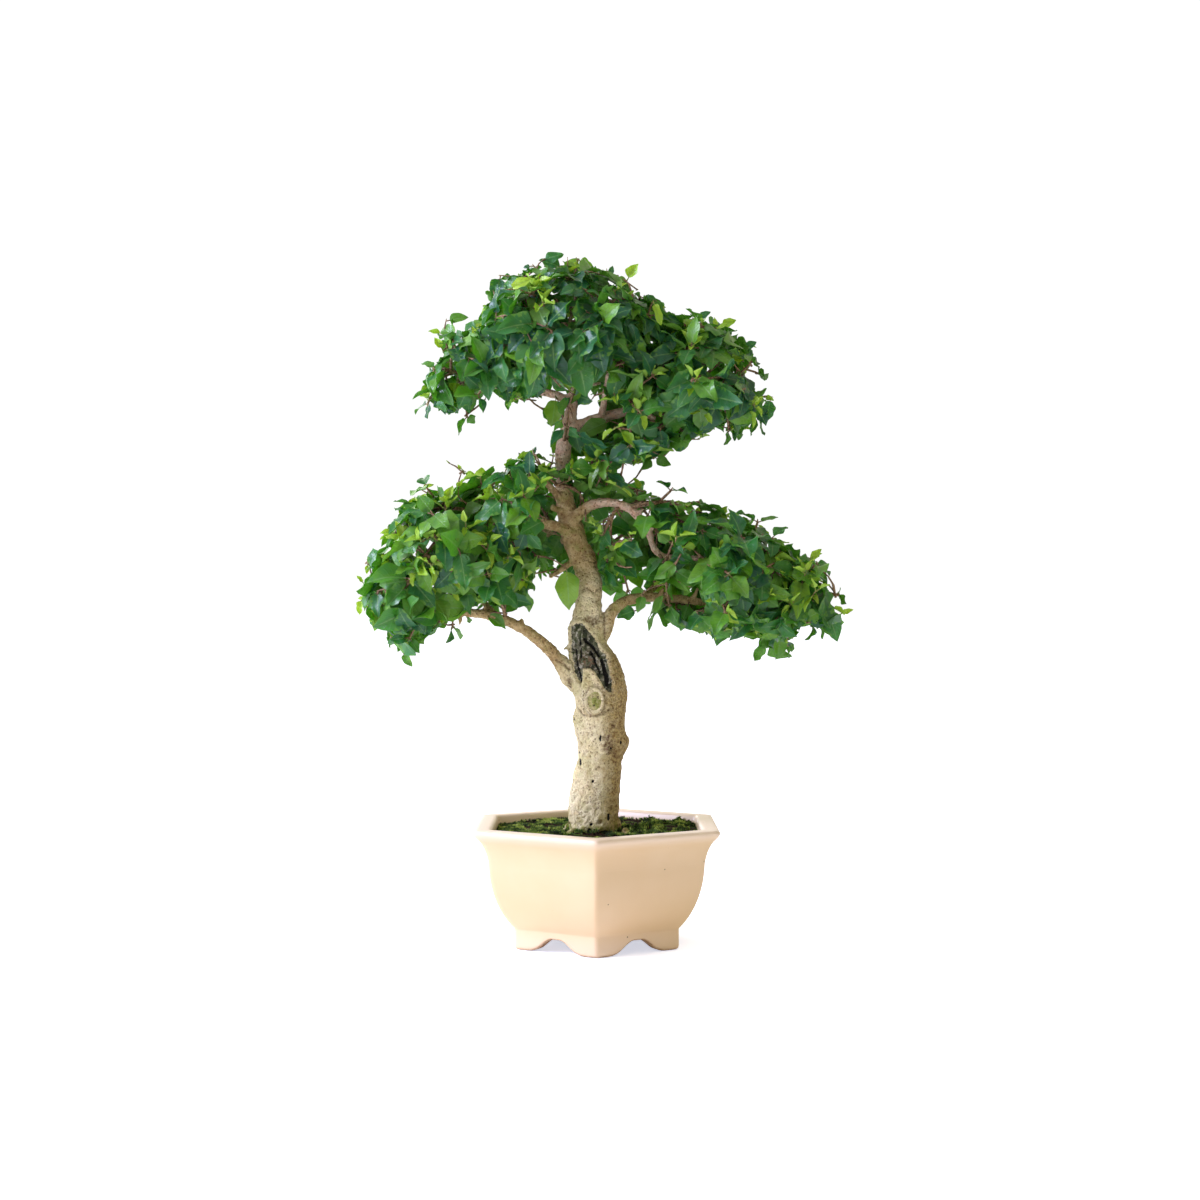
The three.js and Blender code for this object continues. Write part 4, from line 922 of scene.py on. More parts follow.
wood = {
    "voxel": 1.12, "softening": (3, 0.5), "step": 2, "trunkSides": 64, "limbSides": 16, "footSides": 48,
    "spurSides": 10, "spurTaper": (1.3, 1, 0.9, 0.6), "foot": (-2.4, 0, 50, 102, 22.2), "chunk": 8000,
    "margin": 4, "knot": (-1.8, 217.2, 7.6, 10.6), "eye": (13, 174.4, 3.4, 0.9),
    "relief": {
        "rim": 1.3, "crease": -1, "marks": -1.6, "callus": 1.6, "moat": -1.5, "face": -0.7, "ring": 0.8,
        "wrinkles": -0.5,
    },
    # the stain colour covers real stains, and painted shade darkening the crease, moat and wrinkle grooves
    # and the knot ring
    "stainsAndGrooveShade": {"stains": 1, "ring": 0.8, "crease": 0.9, "moat": 0.7, "wrinkles": 0.5},
    "forms": (  # swellings of the trunk: place, reach and height
        ((26, -4, 178), (10, 12, 9), 4.8), ((-20, -6, 201), (8, 12, 7), 2.4),
        ((-16, -8, 226), (9, 12, 10), 4), ((-2, -20, 216), (11, 12, 13), 4.2),
        ((-6, -16, 262), (8, 14, 22), -4), ((-26, -6, 281), (6, 12, 12), 3.2),
        ((-20, -12, 113), (10, 14, 6), 1.8), ((0, 22, 113), (16, 10, 6), 1.6),
        ((12, -20, 174), (8, 10, 9), 1.8), ((20, -8, 119), (6, 8, 5), 2.2),
        ((24, -6, 148), (7, 10, 12), -1.2), ((-22, -6, 160), (7, 12, 14), -1.3),
        ((8, -20, 106), (8, 8, 6), 2.2), ((-14, -18, 104), (8, 8, 5), 2), ((22, 4, 104), (8, 12, 5), 2.2),
    ),
    "spurs": (  # start, end and radius
        ((-66, -16, 283), (-67, -17, 291), 1.8), ((-121, -18, 294), (-122, -19, 284), 1.7),
        ((-99, -20, 295), (-100, -20, 302), 1.8), ((57, 5, 310), (60, 2, 318), 2),
        ((86, 6, 307), (92, 2, 318), 2.2), ((-46, -10, 374), (-47, -13, 381), 1.7),
        ((36, -18, 383), (42, -20, 388), 1.6), ((46, -18, 368), (53, -21, 374), 1.8),
        ((-20, 4, 268), (-30, 2, 262), 2), ((-30, -4, 99), (-24, -10, 112), 1),
        ((24, -14, 100), (33, -20, 97), 3.4), ((-20, -18, 101), (-29, -24, 97), 3),
    ),
    "scar": (  # outline in the front view
        (-23, 283), (-18, 286), (-13, 286), (-8.6, 281), (-4.5, 276), (-1.4, 271.5), (3.2, 261.5), (8.3, 257),
        (11.3, 246.5), (13.8, 234), (14, 227), (12.6, 224.5), (9.5, 226.5), (6, 230), (3, 236), (-2.3, 244),
        (-6, 246.5), (-12.2, 246), (-13, 238), (-14, 231.5), (-16.5, 235), (-19.4, 242), (-21.5, 252.5),
        (-23, 262.5), (-23.6, 274),
    ),
    "black": (  # path and width; these cracks are painted near-black as shade
        (((-10.5, 272), (-4.5, 266), (1.6, 258)), 1.3), (((5, 254), (7.5, 246), (10.6, 232.5)), 2),
        (((-20.5, 262), (-18.6, 248), (-14.8, 234)), 1), (((-6, 262), (-2, 252), (2.5, 242)), 0.7),
        (((-15.5, 270), (-14, 256)), 0.7),
    ),
    "creases": (  # path and width
        (((-36, 253), (-30, 249.5), (-24, 245)), 1.1), (((5.6, 298), (6.4, 286), (7.4, 272)), 0.9),
        (((-27, 227), (-22, 223.5)), 1),
        (((-19, 213), (-12, 204.5), (-4, 202.8), (6, 205.5), (15, 211)), 0.75),
        (((-12, 343), (-2, 340), (6, 347)), 0.6), (((-10, 318), (-2, 313), (5, 319)), 0.5),
    ),
    "marks": (  # place and two radii; these holes are painted near-black as shade
        (3.2, 184, 0.9, 3.2), (22, 179.8, 1, 1.4), (-14.9, 161.8, 1, 2.9), (-15.8, 169.9, 0.7, 1.1),
        (-3.6, 145.6, 1.1, 0.9), (22, 143.4, 0.9, 0.9), (-20.5, 185.2, 0.8, 1.4), (-21.2, 200.5, 1.2, 1.7),
        (10.4, 113.6, 1.2, 3), (-5, 107.8, 1.5, 1.3), (-6.3, 99.5, 2.6, 4), (7, 99, 6, 2.4),
        (13, 174.4, 1.1, 1.1), (-2.5, 213.5, 0.8, 0.9), (0.8, 221, 0.7, 1.1), (-9, 443, 1.2, 1.2),
    ),
    "stains": (  # place and two radii
        (8.5, 184, 3.6, 2.6), (11, 176, 5.5, 6), (15.5, 168.5, 2.6, 2.2), (2.3, 109.6, 2.6, 2.8),
        (-7, 250.5, 6.5, 4.5), (-4, 288.5, 8, 4.5), (14.5, 196, 2.2, 3.2), (-24.5, 232, 2.4, 6),
    ),
}


def trunkFormed(points):
    middles = splineAt(limbs["trunk"], np.linspace(0, 1, 121))[:, :3]
    rise = np.zeros(len(points))
    for at, reach, height in wood["forms"]:
        rise += height * np.exp(-(((points - at) / reach) ** 2).sum(1))
    nearest = middles[((points[:, None] - middles[None]) ** 2).sum(2).argmin(1)]
    outward = points - nearest
    outward[:, 2] = 0
    outward /= np.maximum(np.linalg.norm(outward, axis=1), 1e-6)[:, None]
    return points + outward * rise[:, None]


def inOutline(x, z, outline):  # above nought inside the outline
    edge = toPath(x, z, [*outline, outline[0]])
    return np.where(liesIn(x, z, outline), edge, -edge)


def bell(values, middle, width):
    return np.exp(-((values - middle) / width) ** 2)


def strokes(paths, x, z, low, high, ragged):
    found = np.zeros(len(x))
    for path, width in paths:
        found = np.maximum(found, 1 - smoothStep(low * width, high * width, toPath(x, z, path) + ragged))
    return found


def blots(ovals, x, z, low, ragged):
    found = np.zeros(len(x))
    for middle, height, wide, tall in ovals:
        far = np.hypot((x - middle) / wide, (z - height) / tall)
        found = np.maximum(found, 1 - smoothStep(low, 1.3, far + ragged))
    return found


def trunkRatio(points):  # distance to the trunk's middle line, in its radii
    trunk = splineAt(limbs["trunk"], np.linspace(0, 1, 160))[None]
    ratios = []
    for first in range(0, len(points), wood["chunk"]):
        far = np.sqrt(((points[first:first + wood["chunk"], None] - trunk[:, :, :3]) ** 2).sum(2))
        ratios.append((far / (trunk[:, :, 3] + wood["margin"])).min(1))
    return np.concatenate(ratios)


def barkMasks(points, normals):
    x, z = points[:, 0], points[:, 2]
    ratio = trunkRatio(points)
    ragged, wide = noiseAt(points, 3.5, 1), noiseAt(points, 14, 7)
    front = smoothStep(0.05, 0.4, -normals[:, 1]) * (points[:, 1] < 2)
    coarse = (1 - smoothStep(1.1, 1.5, ratio)) * (1 - 0.6 * smoothStep(300, 420, z))
    edge = inOutline(x, z, np.array(wood["scar"]))
    knotX, knotZ, knotWide, knotTall = wood["knot"]
    oval = np.hypot((x - knotX) / knotWide, (z - knotZ) / knotTall) + 0.05 * ragged
    eyeX, eyeZ, eyeRadius, eyeWidth = wood["eye"]
    upper = smoothStep(1.5, 2.6, ratio) * smoothStep(340, 352, z) * (x > -20)
    furrows = smoothStep(0.25, 0.5, noiseAt(points * (0.35, 0.35, 1), 4.5, 11))
    shown = {  # what shows on the photographed side alone
        "scar": smoothStep(-0.9, 0.9, edge + 0.7 * ragged), "rim": bell(edge, -2.2, 1.7),
        "black": strokes(wood["black"], x, z, 0.75, 1.3, 0.8 * ragged),
        "crease": strokes(wood["creases"], x, z, 0.6, 1.5, 0.5 * ragged),
        "marks": blots(wood["marks"], x, z, 0.7, 0.2 * ragged),
        "stains": blots(wood["stains"], x, z, 0.6, 0.6 * ragged),
        "face": 1 - smoothStep(0.7, 0.9, oval), "callus": bell(oval, 1, 0.14), "moat": bell(oval, 1.3, 0.13),
        "ring": bell(np.hypot(x - eyeX, z - eyeZ), eyeRadius, eyeWidth),
        "pink": np.exp(-(((x + 8) / 9) ** 2 + ((z - 252) / 7) ** 2)),
    }
    masks = {name: values * front for name, values in shown.items()}
    masks.update({
        "pale": (1 - smoothStep(1.1, 1.5, ratio + 0.12 * ragged)) * (1 - smoothStep(292, 345, z + 14 * wide)),
        "base": 1 - smoothStep(100, 120 + 10 * wide, z), "high": np.maximum(smoothStep(395, 440, z), upper),
        "wrinkles": furrows * coarse * smoothStep(285, 330, z), "coarse": coarse, "ragged": ragged,
        "fibres": noiseAt(points * (1, 1, 0.22), 2.1, 9),
    })
    return masks


def barkRise(points, masks):
    lumps = 0.7 * noiseAt(points, 16, 2) + 0.5 * noiseAt(points, 7, 3)
    grain = 0.75 * noiseAt(points, 3.6, 4) + 0.6 * noiseAt(points, 2.4, 8)
    coarse, scar = masks["coarse"], masks["scar"]
    rise = coarse * (1.5 * lumps + grain) + (1 - coarse) * (0.4 * noiseAt(points, 5, 5) + 0.8 * grain)
    rise = rise * (1 - scar) * (1 - 0.6 * masks["face"])
    rise -= scar * (2 - 1.1 * masks["fibres"]) + 3.2 * masks["black"] * np.maximum(scar, 0.4)
    rise -= 0.6 * masks["stains"] * (0.5 + masks["ragged"])
    for name, height in wood["relief"].items():
        rise += height * masks[name]
    return rise


def makeWood(look):
    parts = []
    for name, stations in limbs.items():
        length = np.linalg.norm(np.diff(np.array(stations)[:, :3], axis=0), axis=1).sum()
        rows = splineAt(stations, np.linspace(0, 1, max(4, int(length / wood["step"]))))
        isTrunk = name == "trunk"
        sides = wood["trunkSides" if isTrunk else "limbSides"]
        points, faces = tubeAlong(rows[:, :3], rows[:, 3], sides)
        parts.append((trunkFormed(points) if isTrunk else points, faces))
    for start, end, radius in wood["spurs"]:
        radii = radius * np.array(wood["spurTaper"])
        parts.append(tubeAlong(np.linspace(start, end, len(radii)), radii, wood["spurSides"]))
    x, y, low, high, radius = wood["foot"]
    parts.append(tubeAlong([(x, y, z) for z in np.linspace(low, high, 8)], [radius] * 8, wood["footSides"]))
    points, faces = gather(parts)
    made = makeObject("bark", points + potAxis, faces, [look])
    made.modifiers.new("skin", "REMESH").voxel_size = wood["voxel"] * mm
    soft = made.modifiers.new("soft", "SMOOTH")
    soft.iterations, soft.factor = wood["softening"]
    applyModifiers(made)
    mesh = made.data
    mesh.polygons.foreach_set("use_smooth", [True] * len(mesh.polygons))
    points, normals = pointsOf(mesh) - potAxis, normalsOf(mesh)
    masks = barkMasks(points, normals)
    movePoints(mesh, points + normals * barkRise(points, masks)[:, None] + potAxis)
    # painted shade: near-black in the cracks of the hollow and in the holes
    dark = np.maximum(masks["black"] * np.maximum(masks["scar"], 0.5), masks["marks"])
    stainAndShade = np.maximum.reduce([share * masks[name] for name, share in wood["stainsAndGrooveShade"].items()])
    for name, values in {
        "Pale": masks["pale"], "Scar": masks["scar"], "Heart": masks["face"], "Base": masks["base"],
        "High": masks["high"], "Pink": masks["pink"], "Fibre": 0.5 + 0.8 * masks["fibres"],
        "Dark": dark, "StainShade": stainAndShade,
    }.items():
        giveAttribute(mesh, "wood" + name, values)
    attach(made, "root")
    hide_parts("wood")


def barkMaterial():
    made, tree, place = startMaterial("bark")
    names = ("Pale", "Scar", "Dark", "Heart", "StainShade", "Base", "High", "Fibre", "Pink")
    pale, scar, dark, heart, stainAndShade, base, high, fibre, pink = (valueOf(tree, "wood" + name) for name in names)
    broad, middle = noisy(tree, place, 26, 3), noisy(tree, place, 7, 5, 0.62)
    fine = noisy(tree, place, 2.4, 5, 0.75)

    def torn(mask, reach, low=0.4):  # with a ragged edge
        return ranged(tree, plus(tree, mask, ranged(tree, fine, 0.3, 0.7, -reach, reach)), low, 0.6)

    # painted shade: the cream bark is made darker and browner on its right side, away from the key light
    sideways = addNode(tree, "ShaderNodeSeparateXYZ", {0: place}).outputs[0]
    paintedShade = ranged(tree, sideways, -0.008, 0.01, 0, 0.95)
    paintedShade = plus(tree, paintedShade, ranged(tree, middle, 0.3, 0.7, -0.25, 0.25))
    cream = layered(
        tree, "#fff3c6", (broad, 0.35, 0.65, 1, "#fae9b4"), (middle, 0.5, 0.74, 0.45, "#d3b47c"),
        (noisy(tree, place, 17, 4), 0.5, 0.68, 0.45, "#cfc87c"), (fine, 0.48, 0.68, 0.45, "#bd965e"),
        (paintedShade, layered(tree, "#d6bb7c", (fine, 0.42, 0.62, 1, "#8c6a3a"))),
    )
    thin = layered(
        tree, "#bd9b66", (middle, 0.35, 0.65, 1, "#e2c88e"),
        (noisy(tree, place, 12, 4), 0.48, 0.68, 0.65, "#aba65a"),
        (high, layered(tree, "#f2c3a2", (middle, 0.35, 0.65, 1, "#fddfc2"))),
        (fine, 0.5, 0.7, 0.42, "#7a5838"),
    )
    flakes = plus(tree, noisy(tree, place, 3.4, 4, 0.7), times(tree, fibre, 0.12))
    blush = ranged(tree, noisy(tree, place, 3, 4, 0.7), 0.42, 0.62, 0, 0.7)
    hollow = layered(
        tree, "#3f4330", (fibre, 0.2, 0.7, 1, "#86836a"), (middle, 0.46, 0.66, 0.75, "#55603a"),
        (fine, 0.53, 0.7, 0.75, "#25231a"), (flakes, 0.6, 0.68, 0.85, "#d3cdb8"),
        (times(tree, pink, blush), "#a06f55"),
    )
    core = layered(tree, "#d8c98e", (middle, 0.42, 0.6, 1, "#9aa04c"), (fine, 0.5, 0.68, 1, "#7a6136"))
    # near-black painted shade for the cracks and holes
    pit = layered(tree, "#14130d", (fine, 0.5, 0.7, 1, "#3b392d"))
    grit = plus(tree, dots(tree, place, 3.3), times(tree, fine, 0.4))
    warts = ranged(tree, noisy(tree, place, 11, 2), 0.32, 0.52)
    warts = times(tree, ranged(tree, grit, 0.38, 0.5, 1, 0), warts)
    specks = plus(tree, dots(tree, place, 1.8), times(tree, middle, 0.5))
    specks = ranged(tree, specks, 0.42, 0.56, 1, 0)
    shown = layered(
        tree, thin, (pale, cream), (times(tree, specks, 0.28), "#a5814f"),
        (times(tree, warts, 0.5), "#94683c"),
        (times(tree, base, ranged(tree, middle, 0.38, 0.6, 0.1, 0.85)), "#9a9a3c"),
        # stain colour: real stains, with painted shade in the grooves
        (times(tree, stainAndShade, ranged(tree, fine, 0.35, 0.6, 0.3, 0.9)), "#6f5033"),
        (torn(scar, 0.25), hollow), (torn(heart, 0.2), core), (torn(dark, 0.18, 0.3), pit),
    )
    relief = maths(tree, "MULTIPLY_ADD", specks, 0.25, middle)
    for height, share in ((fine, 0.8), (warts, 0.5)):
        relief = maths(tree, "MULTIPLY_ADD", height, share, relief)
    others = {"Specular IOR Level": 0.35, "Normal": bumped(tree, relief, 3.6)}
    finishMaterial(tree, surfaceOf(tree, shown, ranged(tree, dark, 0, 1, 0.8, 0.55), others))
    return made


makeWood(barkMaterial())
print("wood made", flush=True)

# Pot: the same profile in finer rows, with rounded corners and lip

pot = {  # each profile is a row of corner radii and heights
    "drain": 12, "round": 25, "corner": 5.5, "perSide": 30, "perCorner": 7,
    "footHeight": 18.3, "floorUnder": 12, "floorTop": 22, "wallRows": 26, "bowlRows": 10, "rounds": 2,
    "ring": (70, 76, 84),  # inner edge, middle and outer edge of the foot ring
    "bareBelow": 13, "bareEdge": (0.4, 2.3),
    "under": ((30, 12), (50, 12), (69, 12), (70.2, 11.5), (70.6, 6), (71, 0.6), (72, 0)),
    "foot": ((76, 0), (80, 0), (81.6, 0.4), (82.7, 1.3), (83.3, 2.8), (83.4, 5), (83.4, 10), (83.4, 17.2)),
    "wall": ((83.4, 18.3), (96.4, 30.3), (108, 50), (109, 77)),
    "flare": (
        (109, 77), (109.8, 81), (111.3, 86), (113.8, 91.6), (117.4, 96.6), (121.2, 99.9), (123.8, 102.6),
        (123.9, 105.2), (121.8, 106.9), (114, 107.1), (108, 107), (106.3, 105),
    ),
    "inner": ((105.4, 99.5), (104.3, 92), (103.1, 84.5), (102, 77)),
    "bowl": ((102, 77), (102, 54), (97, 30), (78, 22)), "floor": ((78, 22), (50, 22), (30, 22)),
    "archStops": (
        (-29, 0), (-25, 0.35), (-21.5, 1.35), (-18, 3.1), (-15, 5.4), (-12, 7.9), (-9, 10),
        (-6.5, 11.5), (-4, 12),
    ),
}


def bezier(corners, count):
    t = np.linspace(0, 1, count, endpoint=False)[:, None]
    a, b, c, d = np.array(corners, float)
    return ((1 - t) ** 3 * a + 3 * (1 - t) ** 2 * t * b + 3 * (1 - t) * t ** 2 * c + t ** 3 * d).tolist()


def rounded(path, times):
    for _ in range(times):
        fresh = [path[0]]
        for a, b in zip(np.array(path, float), np.array(path[1:], float)):
            fresh += [(0.75 * a + 0.25 * b).tolist(), (0.25 * a + 0.75 * b).tolist()]
        path = fresh + [path[-1]]
    return path


def potRows():
    rows = [(pot["drain"], pot["floorUnder"]), *pot["under"], *pot["foot"]]
    rows += bezier(pot["wall"], pot["wallRows"]) + rounded(pot["flare"], pot["rounds"])
    rows += [*pot["inner"], *bezier(pot["bowl"], pot["bowlRows"]), *pot["floor"]]
    return rows + [(pot["drain"], pot["floorTop"])]


def wayAt(angle):
    return np.array((math.cos(angle), math.sin(angle)))


def ringOf(radius):
    apothem = radius * math.cos(math.pi / 6)
    corner = apothem if radius < pot["round"] else pot["corner"]
    reach = radius - corner / math.cos(math.pi / 6)
    points = []
    for side in range(6):
        heading = -math.pi / 2 + side * math.pi / 3
        for turn in np.linspace(-math.pi / 6, math.pi / 6, pot["perCorner"]):
            points.append(reach * wayAt(heading) + corner * wayAt(heading + turn))
        a, b = points[-1], reach * wayAt(heading + math.pi / 3) + corner * wayAt(heading + math.pi / 6)
        points += [a + (b - a) * k / (pot["perSide"] + 1) for k in range(1, pot["perSide"] + 1)]
    return np.array(points)


def archUnder(points):
    turn = np.arctan2(points[:, 1], points[:, 0]) + math.pi / 2
    middle = (np.floor(turn / (math.pi / 3)) + 0.5) * math.pi / 3 - math.pi / 2
    along = -points[:, 0] * np.sin(middle) + points[:, 1] * np.cos(middle)
    stops = np.array(pot["archStops"])
    return np.interp(-np.abs(along), stops[:, 0], stops[:, 1])


def makePot(look):
    rows = potRows()
    inner, middle, outer = pot["ring"]
    points = []
    for radius, height in rows:
        ring = ringOf(radius)
        z = np.full(len(ring), float(height))
        top = pot["floorUnder"] if radius < middle else pot["footHeight"]
        if inner < radius < outer and height < top:
            arch = archUnder(ring)
            z = arch + (top - arch) * height / top
        points.append(np.column_stack([ring, z]))
    around = len(points[0])
    faces = []
    for i in range(len(rows)):
        k = (i + 1) % len(rows)
        for j in range(around):
            n = (j + 1) % around
            faces.append((i * around + j, i * around + n, k * around + n, k * around + j))
    points = np.vstack(points)
    made = makeObject("pot_glazed", points + potAxis, faces, [look])
    turn = np.arctan2(points[:, 1], points[:, 0]) % (math.pi / 3) - math.pi / 6
    isFoot = (np.hypot(points[:, 0], points[:, 1]) / np.cos(turn) < outer) & (points[:, 2] < pot["bareBelow"])
    bare = 1 - smoothStep(*pot["bareEdge"], points[:, 2] - archUnder(points))
    giveAttribute(made.data, "potBare", np.where(isFoot, bare, 0))
    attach(made, "root")
    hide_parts("pot")


def glazeMaterial():
    made, tree, place = startMaterial("glaze")
    height = addNode(tree, "ShaderNodeSeparateXYZ", {0: place}).outputs[2]
    broad, fine = noisy(tree, place, 60, 3), noisy(tree, place, 2.5, 4)
    pits = plus(tree, dots(tree, place, 13), times(tree, fine, 0.05))
    patches = ranged(tree, noisy(tree, place, 30, 2), 0.46, 0.53)
    pits = times(tree, ranged(tree, pits, 0.055, 0.09, 1, 0), patches)
    worn = ranged(tree, noisy(tree, place, 5, 4), 0.3, 0.6, 0.45, 1)
    worn = times(tree, valueOf(tree, "potBare"), worn)
    shown = layered(
        tree, "#e8cb9f", (broad, 0.3, 0.7, 1, "#e5c697"),
        # painted light: the glaze is made lighter near the foot, as painted floor bounce, and over the lip
        # and rim top, as a painted highlight
        (ranged(tree, height, 0.004, 0.024, 0.45, 0), "#ecd6bb"), (height, 0.095, 0.104, 0.5, "#f3e2cf"),
        (times(tree, pits, 0.85), "#5c3d22"), (worn, "#a27a50"),
    )
    relief = maths(tree, "SUBTRACT", times(tree, broad, 0.6), pits)
    rough = plus(tree, ranged(tree, fine, 0.3, 0.7, 0.28, 0.42), times(tree, worn, 0.4))
    others = {"Normal": bumped(tree, relief, 0.5, 0.5), "Coat Weight": 0.25, "Coat Roughness": 0.2}
    finishMaterial(tree, surfaceOf(tree, shown, rough, others))
    return made


makePot(glazeMaterial())
print("pot made", flush=True)

# Soil and moss

ground = {
    "level": 98.4, "half": 110, "step": 1.5, "reach": 90.6, "seed": 7, "relief": (0.35, 1.3),
    "tufts": 13000, "area": (106, 92), "margin": 1, "sunk": 0.3, "sparse": 1.15, "trunk": (-2.4, 0, 21),
    "blades": 4, "turn": (0, 6.28), "tilt": (0.15, 0.9), "length": (1.4, 3.2), "width": (0.3, 0.5),
    "bare": (  # dark soil: x, y and the two radii
        (95, 0, 17, 46), (30, 46, 15, 42), (-8, -52, 27, 30), (-62, -58, 26, 10), (-94, -10, 8, 30),
        (55, -66, 24, 9), (66, 20, 9, 26), (-40, 30, 14, 18), (-70, 54, 20, 10), (20, -20, 16, 16),
    ),
}


def insideHexagon(points, apothem):
    turns = math.pi / 6 + np.arange(6) * math.pi / 3 - math.pi / 2
    return (points[:, :2] @ np.array([np.cos(turns), np.sin(turns)])).max(1) < apothem


def bareShare(points):
    ragged = noiseAt(np.column_stack([points[:, :2], np.zeros(len(points))]), 6, 4)
    share = smoothStep(0.2, 0.42, noiseAt(points * (1, 0.4, 0) + (0, 0, 9), 10, 6) + 0.3 * ragged)
    for x, y, wide, deep in ground["bare"]:
        far = np.hypot((points[:, 0] - x) / wide, (points[:, 1] - y) / deep)
        share = np.maximum(share, 1 - smoothStep(0.7, 1.1, far + 0.9 * ragged))
    return share


def mossHeight(points):
    flat = np.column_stack([points[:, :2], np.zeros(len(points))])
    cushions = 0.45 + 0.9 * noiseAt(flat, 15, 1) + 0.8 * noiseAt(flat, 6, 2)
    low = np.maximum(0.8 * bareShare(flat), 0.6 * smoothStep(-10, 60, points[:, 1] - points[:, 0]))
    return ground["level"] + (1 - low) * np.clip(0.9 + 4 * cushions, 0.2, 6.4)


def makeBed(look):
    half = ground["half"]
    count = int(2 * half / ground["step"])
    line = np.linspace(-half, half, count)
    x, y = (grid.ravel() for grid in np.meshgrid(line, line))
    level = np.column_stack([x, y, 0 * x])
    fine, crumbs = ground["relief"]
    z = mossHeight(level) + fine * noiseAt(level, 2, 3) + crumbs * bareShare(level) * noiseAt(level, 4.5, 8)
    inside = insideHexagon(level, ground["reach"])
    kept = []
    for i in range(count * (count - 1)):
        face = [i, i + 1, i + count + 1, i + count]
        if (i + 1) % count and inside[face].all():
            kept.append(face)
    used = sorted({i for face in kept for i in face})
    fresh = {i: k for k, i in enumerate(used)}
    points = np.column_stack([x, y, z])[used]
    bed = makeObject("moss_bed", points + potAxis, [tuple(fresh[i] for i in face) for face in kept], [look])
    giveAttribute(bed.data, "mossBare", bareShare(points))
    return bed


def makeTufts(look):
    draw = random.Random(ground["seed"])
    deep, wide = ground["area"]
    spots = [(draw.uniform(-deep, deep), draw.uniform(-wide, wide), 0) for _ in range(3 * ground["tufts"])]
    spots = np.array(spots)[:, [1, 0, 2]]
    spots = spots[insideHexagon(spots, ground["reach"] - ground["margin"])][:ground["tufts"]]
    x, y, radius = ground["trunk"]
    spots = spots[np.hypot(spots[:, 0] - x, spots[:, 1] - y) > radius]
    spots[:, 2] = mossHeight(spots) - ground["sunk"]
    parts, tone = [], []
    for spot, isBare, shade in zip(spots, bareShare(spots), noiseAt(spots, 9, 5)):
        if draw.random() < ground["sparse"] * isBare:
            continue
        for _ in range(ground["blades"]):
            turn, tilt, length = (draw.uniform(*ground[key]) for key in ("turn", "tilt", "length"))
            way = np.array((math.cos(turn) * math.sin(tilt), math.sin(turn) * math.sin(tilt), math.cos(tilt)))
            side = np.array((-math.sin(turn), math.cos(turn), 0)) * draw.uniform(*ground["width"])
            middle, tip = spot + way * length * 0.5, spot + way * length
            parts.append((np.array([spot, middle + side, tip, middle - side]), [(0, 1, 2, 3)]))
            # each blade is darker at its root and lighter at its tip: partly the moss's own colour, partly
            # painted shade low in the tuft and painted light on the tips
            low = 0.36 + 1.2 * shade + draw.uniform(-0.25, 0.25)
            tone += [low - 0.3, low, low + 0.4, low]
    points, faces = gather(parts)
    tufts = makeObject("moss_tufts", points + potAxis, faces, [look])
    giveAttribute(tufts.data, "mossTone", tone)
    return tufts


def soilMaterial():
    made, tree, place = startMaterial("soil")
    crumbs, broad = noisy(tree, place, 1.6, 4), noisy(tree, place, 12, 3)
    earth = layered(tree, "#110c08", (crumbs, 0.4, 0.65, 1, "#412e1a"))
    bare = plus(tree, valueOf(tree, "mossBare"), times(tree, crumbs, 0.4))
    shown = layered(
        tree, "#161f0c", (crumbs, 0.35, 0.65, 1, "#415a1c"), (broad, 0.45, 0.65, 0.6, "#5f7a2a"),
        (bare, 0.45, 0.75, 1, earth),
    )
    others = {"Specular IOR Level": 0.1, "Normal": bumped(tree, crumbs, 2.4)}
    finishMaterial(tree, surfaceOf(tree, shown, 0.95, others))
    return made


def mossMaterial():
    made, tree, place = startMaterial("moss")
    tone = valueOf(tree, "mossTone")
    # the highest tones, on the blade tips, are partly painted light
    shown = layered(
        tree, "#1c2a10", (tone, 0, 0.6, 1, "#57782a"), (tone, 0.5, 1.1, 1, "#b6c45c"),
        (noisy(tree, place, 5, 4, 0.7), 0.6, 0.68, 0.8, "#3f2c18"),
    )
    finishMaterial(tree, thinOf(tree, surfaceOf(tree, shown, 0.85), 0.25, {"Color": shown}))
    return made


def meshMaterial():
    made, tree, place = startMaterial("drain_mesh")
    grain = noisy(tree, place, 1.2, 3)
    shown = mixed(tree, grain, "#1d201e", "#343836")
    finishMaterial(tree, surfaceOf(tree, shown, 0.55, {"Normal": bumped(tree, grain, 0.1)}))
    return made


soilLook = soilMaterial()
for piece in (makeBed(soilLook), makeTufts(mossMaterial())):
    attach(piece, "root")
for name, look in (("soil", soilLook), ("drain_mesh", meshMaterial())):
    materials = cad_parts[name].data.materials
    materials.clear()
    materials.append(look)
print("soil and moss made", flush=True)

# Stage

studio = {
    "left": 0.78, "right": 0.42, "front": -0.1, "back": 0.42, "warm": (1, 0.9, 0.7, 1), "seen": 1.03,
    "floor": "#ffffff", "glow": (0.52, 0.56, 0.66, 1), "bounce": 0.12, "reach": 40000, "aim": (0, 0, 0.3),
}
lamps = (  # name, place, size, power and tint
    ("key", (-2.5, -0.6, 1.5), 1.3, 88, (0.93, 0.95, 1.42)),
    ("back", (-1.1, 1.8, 1.3), 1.2, 18, (1, 1, 0.95)),
)


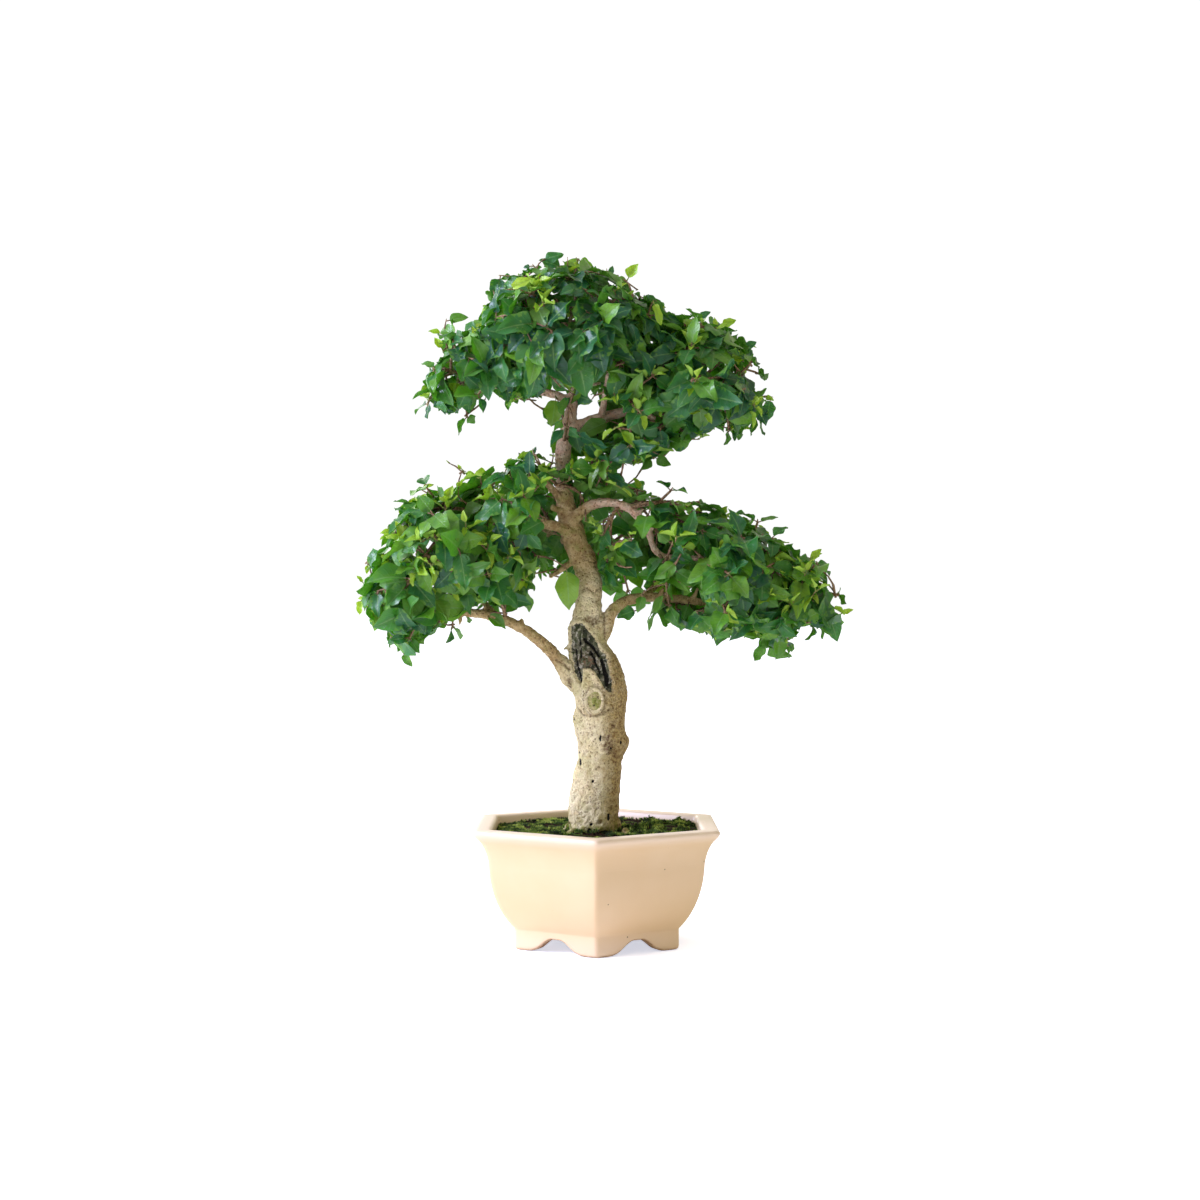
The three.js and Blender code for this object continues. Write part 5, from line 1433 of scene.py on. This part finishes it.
def makeFloor():
    made, tree, _ = startMaterial("stage")
    seen = addNode(tree, "ShaderNodeLightPath").outputs["Is Camera Ray"]
    finishMaterial(tree, surfaceOf(tree, colour(studio["floor"]), 1.0, {
        "Specular IOR Level": 0.0, "Emission Color": studio["glow"],
        "Emission Strength": ranged(tree, seen, 0, 1, studio["bounce"], 1),
    }))
    reach = studio["reach"]
    corners = [(-reach, -reach, 0), (reach, -reach, 0), (reach, reach, 0), (-reach, reach, 0)]
    makeObject("floor", corners, [(0, 1, 2, 3)], [made])


def makeWorld():
    world = bpy.data.worlds.new("studio")
    bpy.context.scene.world = world
    world.use_nodes = True
    tree = world.node_tree
    tree.nodes.clear()
    seen = addNode(tree, "ShaderNodeLightPath").outputs["Is Camera Ray"]
    heading = addNode(tree, "ShaderNodeTexCoord").outputs["Generated"]
    sideways, inward, _ = addNode(tree, "ShaderNodeSeparateXYZ", {0: heading}).outputs
    strength = plus(
        tree, ranged(tree, sideways, -1, 1, studio["left"], studio["right"]),
        ranged(tree, inward, -1, 1, studio["front"], studio["back"]),
    )
    strength = maths(tree, "MAXIMUM", strength, times(tree, seen, studio["seen"]))
    warmth = times(tree, ranged(tree, sideways, -0.8, 0.8), maths(tree, "SUBTRACT", 1.0, seen))
    shown = mixed(tree, warmth, (1, 1, 1, 1), studio["warm"])
    lit = addNode(tree, "ShaderNodeBackground", {"Color": shown, "Strength": strength}).outputs[0]
    addNode(tree, "ShaderNodeOutputWorld", {"Surface": lit})


def addLamp(name, where, size, power, tint):
    light = bpy.data.lights.new(name, "AREA")
    light.size, light.energy, light.color = size, power, tint
    lamp = bpy.data.objects.new(name, light)
    lamp.location = where
    lamp.rotation_euler = (Vector(studio["aim"]) - lamp.location).to_track_quat("-Z", "Y").to_euler()
    bpy.context.scene.collection.objects.link(lamp)


def addCamera():
    lens = bpy.data.cameras.new("camera")
    lens.lens, lens.sensor_width, lens.clip_end = view["lens"], view["sensor"], view["clip"]
    camera = bpy.data.objects.new("camera", lens)
    camera.location = (potAxis + (view["shift"], -view["distance"], view["height"])) * mm
    camera.rotation_euler = (math.pi / 2, 0, 0)
    bpy.context.scene.collection.objects.link(camera)
    bpy.context.scene.camera = camera
    bpy.context.scene.view_settings.view_transform = "Standard"


makeFloor()
makeWorld()
for lamp in lamps:
    addLamp(*lamp)
addCamera()
